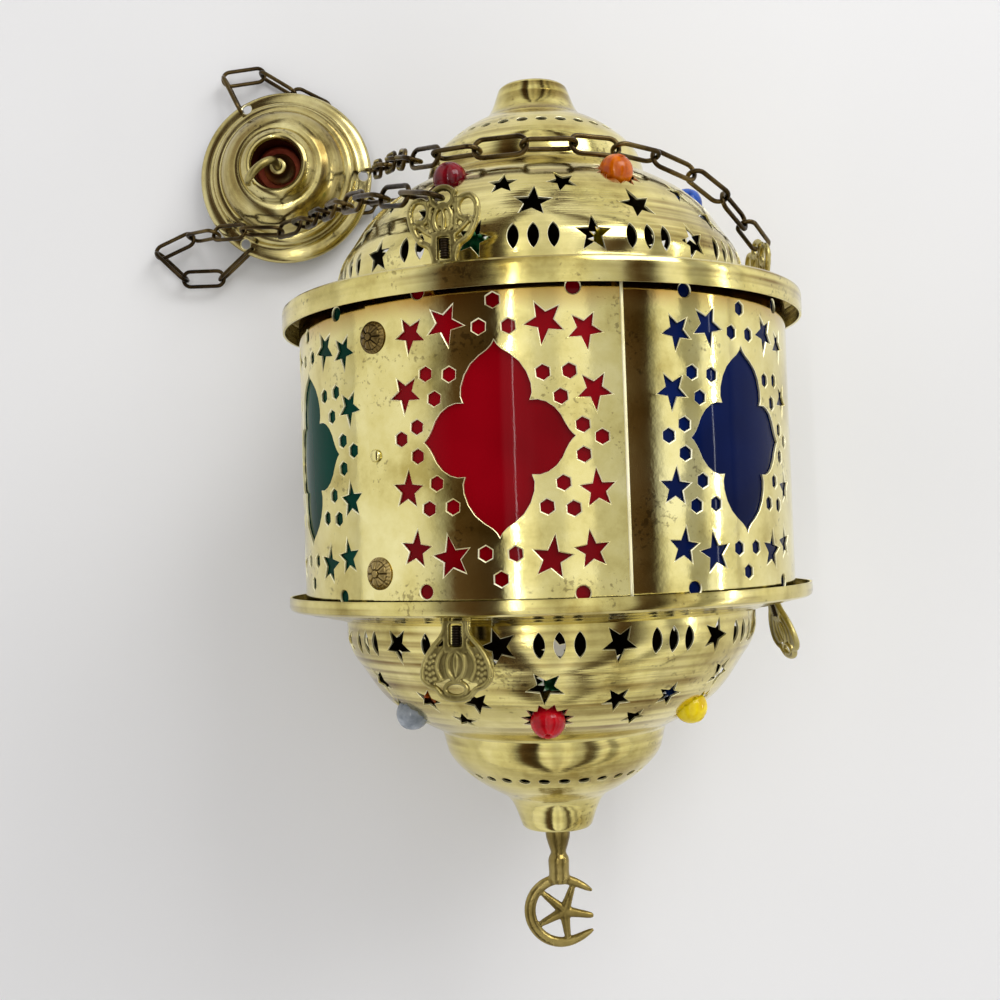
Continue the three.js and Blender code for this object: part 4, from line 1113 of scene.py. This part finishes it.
def make_candle_cup():
    # Its foot stands on the nut inside the lower neck
    nut_thickness, foot_length = 3.2, 26
    foot_from = neck_end + sheet + nut_thickness + 2 * seat_gap
    place = lying @ Matrix.Rotation(math.radians(-90), 4, "X")
    foot = [(2.3, 0), (4.0, 0), (4.1, 1.2), (3.4, 4), (3.2, foot_length - 6), (4.1, foot_length - 2)]
    cup = [(8.5, -0.7), (11.4, 0.8), (12.7, 2.6), (13.0, 4.4), (13.0, 19), (13.0, 20), (12.2, 20),
           (12.2, 4.4), (11.6, 2.6), (8.0, 0.8), (2.3, 0.8)]
    line = foot + [(r, foot_length + h) for r, h in cup] + foot[:1]
    piece = turned("turned_candle_cup", [(r, foot_from + h) for r, h in line], place, spun_brass, 64)
    ride_body(piece, "lantern", "brass", "candle_cup")


make_candle_cup()


# Ceiling cup, its hook and nut

def make_ceiling_cup():
    # The sheet is spun about local Y, which stands upright here
    place = Matrix.Translation(metres(*canopy_centre)) @ Matrix.Rotation(math.pi / 2, 4, "X")
    line = [(2.3, 13.4), (8.2, 13.4), (9.8, 13.6), (10.5, 14.6), (10.7, 17.5), (10.9, 21.0), (11.3, 23.6),
            (12.2, 24.6), (13.6, 24.4), (15.0, 23.2), (16.4, 21.4), (17.2, 19.9), (17.8, 19.3), (18.8, 19.4),
            (20.4, 18.9), (22.6, 17.6), (24.6, 15.8), (26.4, 13.6), (27.8, 11.2), (28.6, 9.2), (29.2, 8.4),
            (30.2, 8.3), (31.4, 7.9), (32.4, 6.9), (33.0, 5.2), (33.6, 3.6), (34.6, 2.8), (36.0, 2.5),
            (37.6, 2.1), (38.8, 1.6), (39.6, 1.0), (40.0, 0.0)]
    line = [(float(r), float(h)) for r, h in rounded(line, 3)]
    lengths = lengths_along(line)
    at = next(length for length, (r, _) in zip(lengths, line) if r >= hole_circle)
    # Local angle runs from +Z of the lying lantern, so a hole at map angle a lies at 90 - a
    holes = [("round", 90 - (first_hole + 120 * i), at, 0, 0.95, hole_circle) for i in range(3)]
    cup = pierced("spun_ceiling_cup", line, holes, (-200, 160), 26.0, aged_brass, 97, int(lengths[-1] / 0.8),
                  place, joined=True)
    # The throat inside the inner lip has its own dark brown-red finish
    throat_radius = 11.2
    cup.data.materials.append(red_brown_throat)
    for face in cup.data.polygons:
        x, y, _ = face.center / MM - Vector(canopy_centre)
        if math.hypot(x, y) < throat_radius:
            face.material_index = len(cup.data.materials) - 1
    ride_body(cup, "ceiling_cup", "brass", "ceiling_cup")
    upright = Matrix.Translation(metres(*canopy_centre))
    nut = [(2.2, 0), (6.4, 0), (7.0, 0.3), (7.0, 1.1), (6.2, 1.8), (4.6, 2.6), (3.9, 4.0), (3.7, 5.6),
           (3.2, 6.0), (2.2, 6.0), (2.2, 0)]
    nut = [(r, canopy_disc + seat_gap + h) for r, h in nut]
    ride_body(turned("turned_hook_nut", nut, upright, cast_brass, 48), "ceiling_cup", "brass", "hook_nut")


make_ceiling_cup()


def make_hook():
    x, y, z = canopy_centre
    disc = z + canopy_disc
    turn, bend, top = math.radians(219), 7.6, disc + 13.6
    points = [(x, y, disc - 1.6), (x, y, disc + 4), (x, y, top - 2)]
    for a in np.radians(range(0, 193, 16)):
        reach = bend * (1 - math.cos(a))
        points.append((x + reach * math.cos(turn), y + reach * math.sin(turn), top + bend * math.sin(a)))
    path = rounded(points, 3)
    # The rod thins over the last quarter, towards its point
    shares = [i / (len(path) - 1) for i in range(len(path))]
    radii = [1.85 - 0.75 * max(0.0, (share - 0.72) / 0.28) ** 1.3 for share in shares]
    # The screw head under the cup's disc
    head, head_thickness = round_outline(4.6, 24), 3.0
    low = disc - sheet - seat_gap - head_thickness
    parts = [tube_mesh(path, [(r, r) for r in radii], 14),
             slab_mesh([(x + a, y + b) for a, b in head], low, low + head_thickness)]
    hook = fused("cast_hook", parts, 0.32, cast_brass, Matrix.Identity(4))
    ride_body(hook, "hook", "cast_brass", "ceiling_hook")


make_hook()


# Chains: the CAD model's routes walked again, one round-wire link instanced at each step

wire_radius = 0.9
link_half_width = 4.4
link_pitch = 17.6
link_length = 19.3
link_bend = link_half_width - wire_radius
link_reach = wire_radius + 0.05
waist_radius = 43.6
waist_height = upper_plate + 48.2
over_waist = waist_radius + 10
chain_lift = 4.8
ear_height, crown_radius, crown_hole, crown_bar = 27.5, 5.6, 2.6, 1.9
rim_bar_radius = (hole_circle + hole_radius + canopy_radius) / 2
chain_ears = [100, -20, 220]
chain_holes = [0, 2, 1]
chain_splits = [(0.25, 0.5, 0.75), (0.25, 0.48, 0.71), (0.33, 0.67)]


def bar_towards(angle, toward):
    """The middle of the ear's crown ring on the side towards a point, and the ring's direction there."""
    hole_up = ear_height - crown_bar - crown_hole
    crown_up = ear_height - crown_radius
    hole_height = upper_plate + seat_gap + hole_up
    centre = round_axis(angle, ear_circle, hole_height)
    out = round_axis(angle, ear_circle + 1, hole_height) - centre
    along = toward - centre
    along = (along - out * along.dot(out)).normalized()
    offset = hole_up - crown_up
    across = along.dot(Vector((math.cos(math.radians(angle)), 0, -math.sin(math.radians(angle)))))
    edge = math.sqrt(crown_radius ** 2 - (offset * across) ** 2) - offset * along.y
    return centre + along * (crown_hole + edge) / 2, out.cross(along).normalized()


def rim_bar(index):
    """The middle of the rim's bar outside one hole of the ceiling cup, and the bar's direction."""
    a = math.radians(first_hole + 120 * index)
    x, y, z = canopy_centre
    middle = Vector((x + rim_bar_radius * math.cos(a), y + rim_bar_radius * math.sin(a), z + 1.12))
    return middle, Vector((-math.sin(a), math.cos(a), 0))


def chain_middles():
    """Each chain's route between its two ends: round the lantern's neck, then beside it down to the floor."""
    on_floor = [(-33, 108), (-28, 120), (-40, 130), (-62, 129), (-90, 127), (-122, 126), (-142, 134),
                (-139, 147), (-116, 151), (-97, 154), (-90, 165), (-100, 176), (-116, 184), (-130, 193)]
    # For each chain, angle, radius and height round the neck, then places beside the lantern
    round_neck = ([(84, 77.5, -16), (73, 69, -8), (61, 60, -2), (46, over_waist, 1), (20, over_waist, 1),
                   (-8, over_waist, 1), (-34, over_waist, 1.6), (-58, over_waist - 1, 5)],
                  [(-34, 81, -19), (-64, 75.5, -11.5)], [])
    beside = ([(-57, 126, 80), (-67, 133, 46)],
              [(-90, 105, 78), (-104, 110, 44), (-114, 111, 30.5), (-128, 112, 28.5), (-146, 114, 19),
               (-163, 115, 6.4), (-176.5, 112, 5.6), (-178, 102, 5.6), (-166, 96, 5.6), (-150, 95, 6.2)],
              [(-47, 99, 13), *((x, along, chain_lift) for x, along in on_floor), (-144, 191, 5.6)])
    return [[round_axis(angle, radius, waist_height + up) for angle, radius, up in near]
            + [Vector((x, along + along_offset, z)) for x, along, z in far]
            for near, far in zip(round_neck, beside)]


def spaced(points, count):
    """Points one equal length apart on the smooth route."""
    dense = np.array([tuple(p) for p in rounded([tuple(q) for q in points], 60)])
    gaps = np.linalg.norm(np.diff(dense, axis=0), axis=1)
    total = np.concatenate([[0], np.cumsum(gaps)])
    at = np.linspace(0, total[-1], count + 1)
    return np.stack([np.interp(at, total, dense[:, k]) for k in range(3)], axis=1)


def step_along(curve, pitch):
    """Points on the route, each one pitch from the last in a straight line."""
    joints = [curve[0]]
    i = 1
    while i < len(curve):
        last, before, after = joints[-1], curve[i - 1], curve[i]
        if np.linalg.norm(after - last) < pitch:
            i += 1
            continue
        step = after - before
        back = before - last
        b = back @ step
        c = back @ back - pitch ** 2
        s = step @ step
        joints.append(before + step * ((-b + math.sqrt(b * b - s * c)) / s))
    return joints


def even_joints(points):
    """The joints of a whole number of links, as near as can be to one pitch apart."""
    curve = spaced(points, 600)
    walked = step_along(curve, link_pitch)
    left = np.linalg.norm(walked[-1] - curve[-1])
    count = len(walked) - 1 + round(left / link_pitch)
    low, high = link_pitch * 0.8, link_pitch * 1.2
    for _ in range(40):
        middle = (low + high) / 2
        if len(step_along(curve, middle)) > count:
            low = middle
        else:
            high = middle
    return [Vector(p) for p in step_along(curve, low)[:count]] + [Vector(curve[-1])]


def chain_layout(middles, start, end):
    """Joints, directions and faces of the links, each a quarter turn on from the last, between two bars."""
    joints = even_joints([start[0], *middles, end[0]])
    ways = [(b - a).normalized() for a, b in zip(joints, joints[1:])]

    def square(direction, way):
        return (direction - way * direction.dot(way)).normalized()
    faces = [square(start[1], ways[0])]
    for way in ways[1:]:
        face = square(faces[-1], way)
        faces.append(Matrix.Rotation(math.pi / 2, 3, way) @ face)
    wanted = square(end[1], ways[-1])
    twist = math.atan2(faces[-1].cross(wanted).dot(ways[-1]), faces[-1].dot(wanted))
    spread = (twist - math.pi * round(twist / math.pi)) / (len(ways) - 1)
    faces = [Matrix.Rotation(i * spread, 3, way) @ face for i, (face, way) in enumerate(zip(faces, ways))]
    return joints, ways, faces


def chain_link_tree():
    """One round wire bent to a long ring, set at each place with its turn and length."""
    tree, names, given = new_tree("chain_links", {
        "Length": "Float", "Half width": "Float", "Wire radius": "Float", "Finish": "Material",
    })
    bend = node(tree, "ShaderNodeMath", {"operation": "SUBTRACT"},
                {0: given["Half width"], 1: given["Wire radius"]})
    width = node(tree, "ShaderNodeMath", {"operation": "MULTIPLY"}, {0: bend, 1: 2.0})
    ring = node(tree, "GeometryNodeCurvePrimitiveQuadrilateral",
                inputs={"Width": given["Length"], "Height": width})
    corner = node(tree, "ShaderNodeMath", {"operation": "MULTIPLY"}, {0: bend, 1: 0.97})
    bent = node(tree, "GeometryNodeFilletCurve", {"mode": "POLY"},
                {"Curve": ring, "Count": 5, "Radius": corner, "Limit Radius": True})
    section = node(tree, "GeometryNodeCurvePrimitiveCircle",
                   inputs={"Resolution": 10, "Radius": given["Wire radius"]})
    wire = node(tree, "GeometryNodeCurveToMesh", inputs={"Curve": bent, "Profile Curve": section})
    turn = node(tree, "GeometryNodeInputNamedAttribute", {"data_type": "FLOAT_VECTOR"}, {"Name": "turn"})
    size = node(tree, "GeometryNodeInputNamedAttribute", {"data_type": "FLOAT_VECTOR"}, {"Name": "size"})
    placed = node(tree, "GeometryNodeInstanceOnPoints",
                  inputs={"Points": given["Geometry"], "Instance": wire, "Rotation": turn, "Scale": size})
    real = node(tree, "GeometryNodeRealizeInstances", inputs={"Geometry": placed})
    dressed = node(tree, "GeometryNodeSetMaterial", inputs={"Geometry": real, "Material": given["Finish"]})
    node(tree, "NodeGroupOutput", inputs={"Geometry": dressed})
    return tree, names


def make_chains():
    tree, names = chain_link_tree()
    inputs = {"Length": link_length * MM, "Half width": link_half_width * MM, "Wire radius": wire_radius * MM,
              "Finish": chain_wire}
    rim_reach = rim_bar_radius - hole_circle
    for c, middles in enumerate(chain_middles()):
        start, end = bar_towards(chain_ears[c], middles[0]), rim_bar(chain_holes[c])
        joints, ways, faces = chain_layout(middles, start, end)
        count = len(ways)
        centres, turns, sizes = [], [], []
        for i in range(count):
            before = link_bend if i == 0 else link_reach
            after = rim_reach if i == count - 1 else link_reach
            low, high = joints[i] - ways[i] * before, joints[i + 1] + ways[i] * after
            basis = Matrix((ways[i], faces[i].cross(ways[i]), faces[i])).transposed()
            centres.append((low + high) / 2 * MM)
            turns.append(tuple(basis.to_euler()))
            sizes.append(((high - low).length / link_length, 1, 1))
        firsts = [0] + [math.floor(share * count + 0.5) for share in chain_splits[c]] + [count]
        for g, (first, last) in enumerate(zip(firsts, firsts[1:])):
            name = "chain_%d_%s" % (c + 1, "abcd"[g])
            mesh = raw_mesh(name + "_places", centres[first:last])
            for key, rows in (("turn", turns), ("size", sizes)):
                column = mesh.attributes.new(key, "FLOAT_VECTOR", "POINT")
                column.data.foreach_set("vector", [v for row in rows[first:last] for v in row])
            piece = through_tree("links_of_" + name, mesh, tree, names, inputs)
            ride_body(piece, name, "dark_bronze", name)


make_chains()

# The nut inside the lower neck keeps its CAD shape
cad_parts["finial_nut"].data.materials.clear()
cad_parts["finial_nut"].data.materials.append(cast_brass)


# Floor, light and background

def make_stage():
    half, top = 3, -0.0004
    corners = [(-half, -half, top), (half, -half, top), (half, half, top), (-half, half, top)]
    floor = in_scene("floor", raw_mesh("floor", corners, [(0, 1, 2, 3)]))
    material, tree, shader = new_material("white_paper_floor")
    place = node(tree, "ShaderNodeTexCoord").outputs["Object"]
    cloud = node(tree, "ShaderNodeTexNoise", inputs={"Vector": place, "Scale": 3.0, "Detail": 2.0})
    colour = node(tree, "ShaderNodeValToRGB", inputs={"Fac": cloud},
                  stops=[(0.3, linear("ececed")), (0.7, linear("f4f4f5"))])
    tree.links.new(colour.outputs["Color"], shader.inputs["Base Color"])
    shader.inputs["Roughness"].default_value = 0.75
    floor.data.materials.append(material)


def make_world():
    """Soft studio surroundings: pale cards with dark gaps between them, running along the lantern."""
    world = bpy.data.worlds.new("studio")
    scene.world = world
    world.use_nodes = True
    tree = world.node_tree
    tree.nodes.clear()
    way = node(tree, "ShaderNodeTexCoord").outputs["Generated"]
    parts = node(tree, "ShaderNodeSeparateXYZ", inputs={"Vector": way})
    angle = node(tree, "ShaderNodeMath", {"operation": "ARCTAN2"},
                 {0: parts.outputs["X"], 1: parts.outputs["Z"]})
    share = node(tree, "ShaderNodeMapRange",
                 inputs={"Value": angle.outputs[0], "From Min": -math.pi / 2, "From Max": math.pi / 2,
                         "To Min": 0.0, "To Max": 1.0})
    # Brightness of the cards by the angle from straight above; the gaps between them are brown, not black
    cards = [(-90, 0.8), (-62, 0.84), (-53, 0.7), (-47, 0.34), (-41, 0.09), (-19, 0.03), (-17, 0.9),
             (-15, 1.0), (-6, 1.0), (-3, 0.72), (6, 0.68), (10, 0.98), (19, 0.98), (22, 0.62), (34, 0.58),
             (36, 0.09), (48, 0.04), (50, 0.3), (55, 1.0), (63, 1.0), (65, 0.36), (74, 0.4), (77, 0.95),
             (90, 0.85)]
    brown = [v / 0.11 for v in linear("5c4630")[:3]]
    colours = [tuple(v * (b if v < 0.1 else 1.0) for b in brown) + (1.0,) for _, v in cards]
    light_bands = node(tree, "ShaderNodeValToRGB", inputs={"Fac": share},
                       stops=[((a + 90) / 180, colour) for (a, _), colour in zip(cards, colours)])
    light = node(tree, "ShaderNodeBackground", inputs={"Color": light_bands, "Strength": 1.1})
    pale = node(tree, "ShaderNodeBackground", inputs={"Color": linear("ececed"), "Strength": 1.0})
    seen = node(tree, "ShaderNodeLightPath").outputs["Is Camera Ray"]
    both = node(tree, "ShaderNodeMixShader", inputs={0: seen, 1: light, 2: pale})
    node(tree, "ShaderNodeOutputWorld", inputs={"Surface": both})


def make_lamp(name, place, aim, size, power):
    data = bpy.data.lights.new(name, "AREA")
    data.shape = "RECTANGLE"
    data.size, data.size_y = size
    data.energy = power
    # Its long side runs along the lantern
    back = (Vector(place) - Vector(aim)).normalized()
    along = (Vector((0, 1, 0)) - back * back.y).normalized()
    turn = Matrix((along.cross(back), along, back)).transposed().to_4x4()
    in_scene(name, data).matrix_world = Matrix.Translation(Vector(place)) @ turn


make_stage()
make_world()
# Two slim strips give the line of light that runs down each window sheet
lantern_middle = (0, 0.05, 0.1)
make_lamp("strip_above", (-0.34, 0.05, 1.65), lantern_middle, (0.012, 1.2), 1.5)
make_lamp("strip_right", (1.49, 0.05, 0.36), lantern_middle, (0.012, 1.2), 1.6)
# A wide soft window behind the lantern's head, to its right, gives the shadow on its left
make_lamp("soft_window", (1.15, 1.35, 1.35), lantern_middle, (1.3, 1.0), 22)
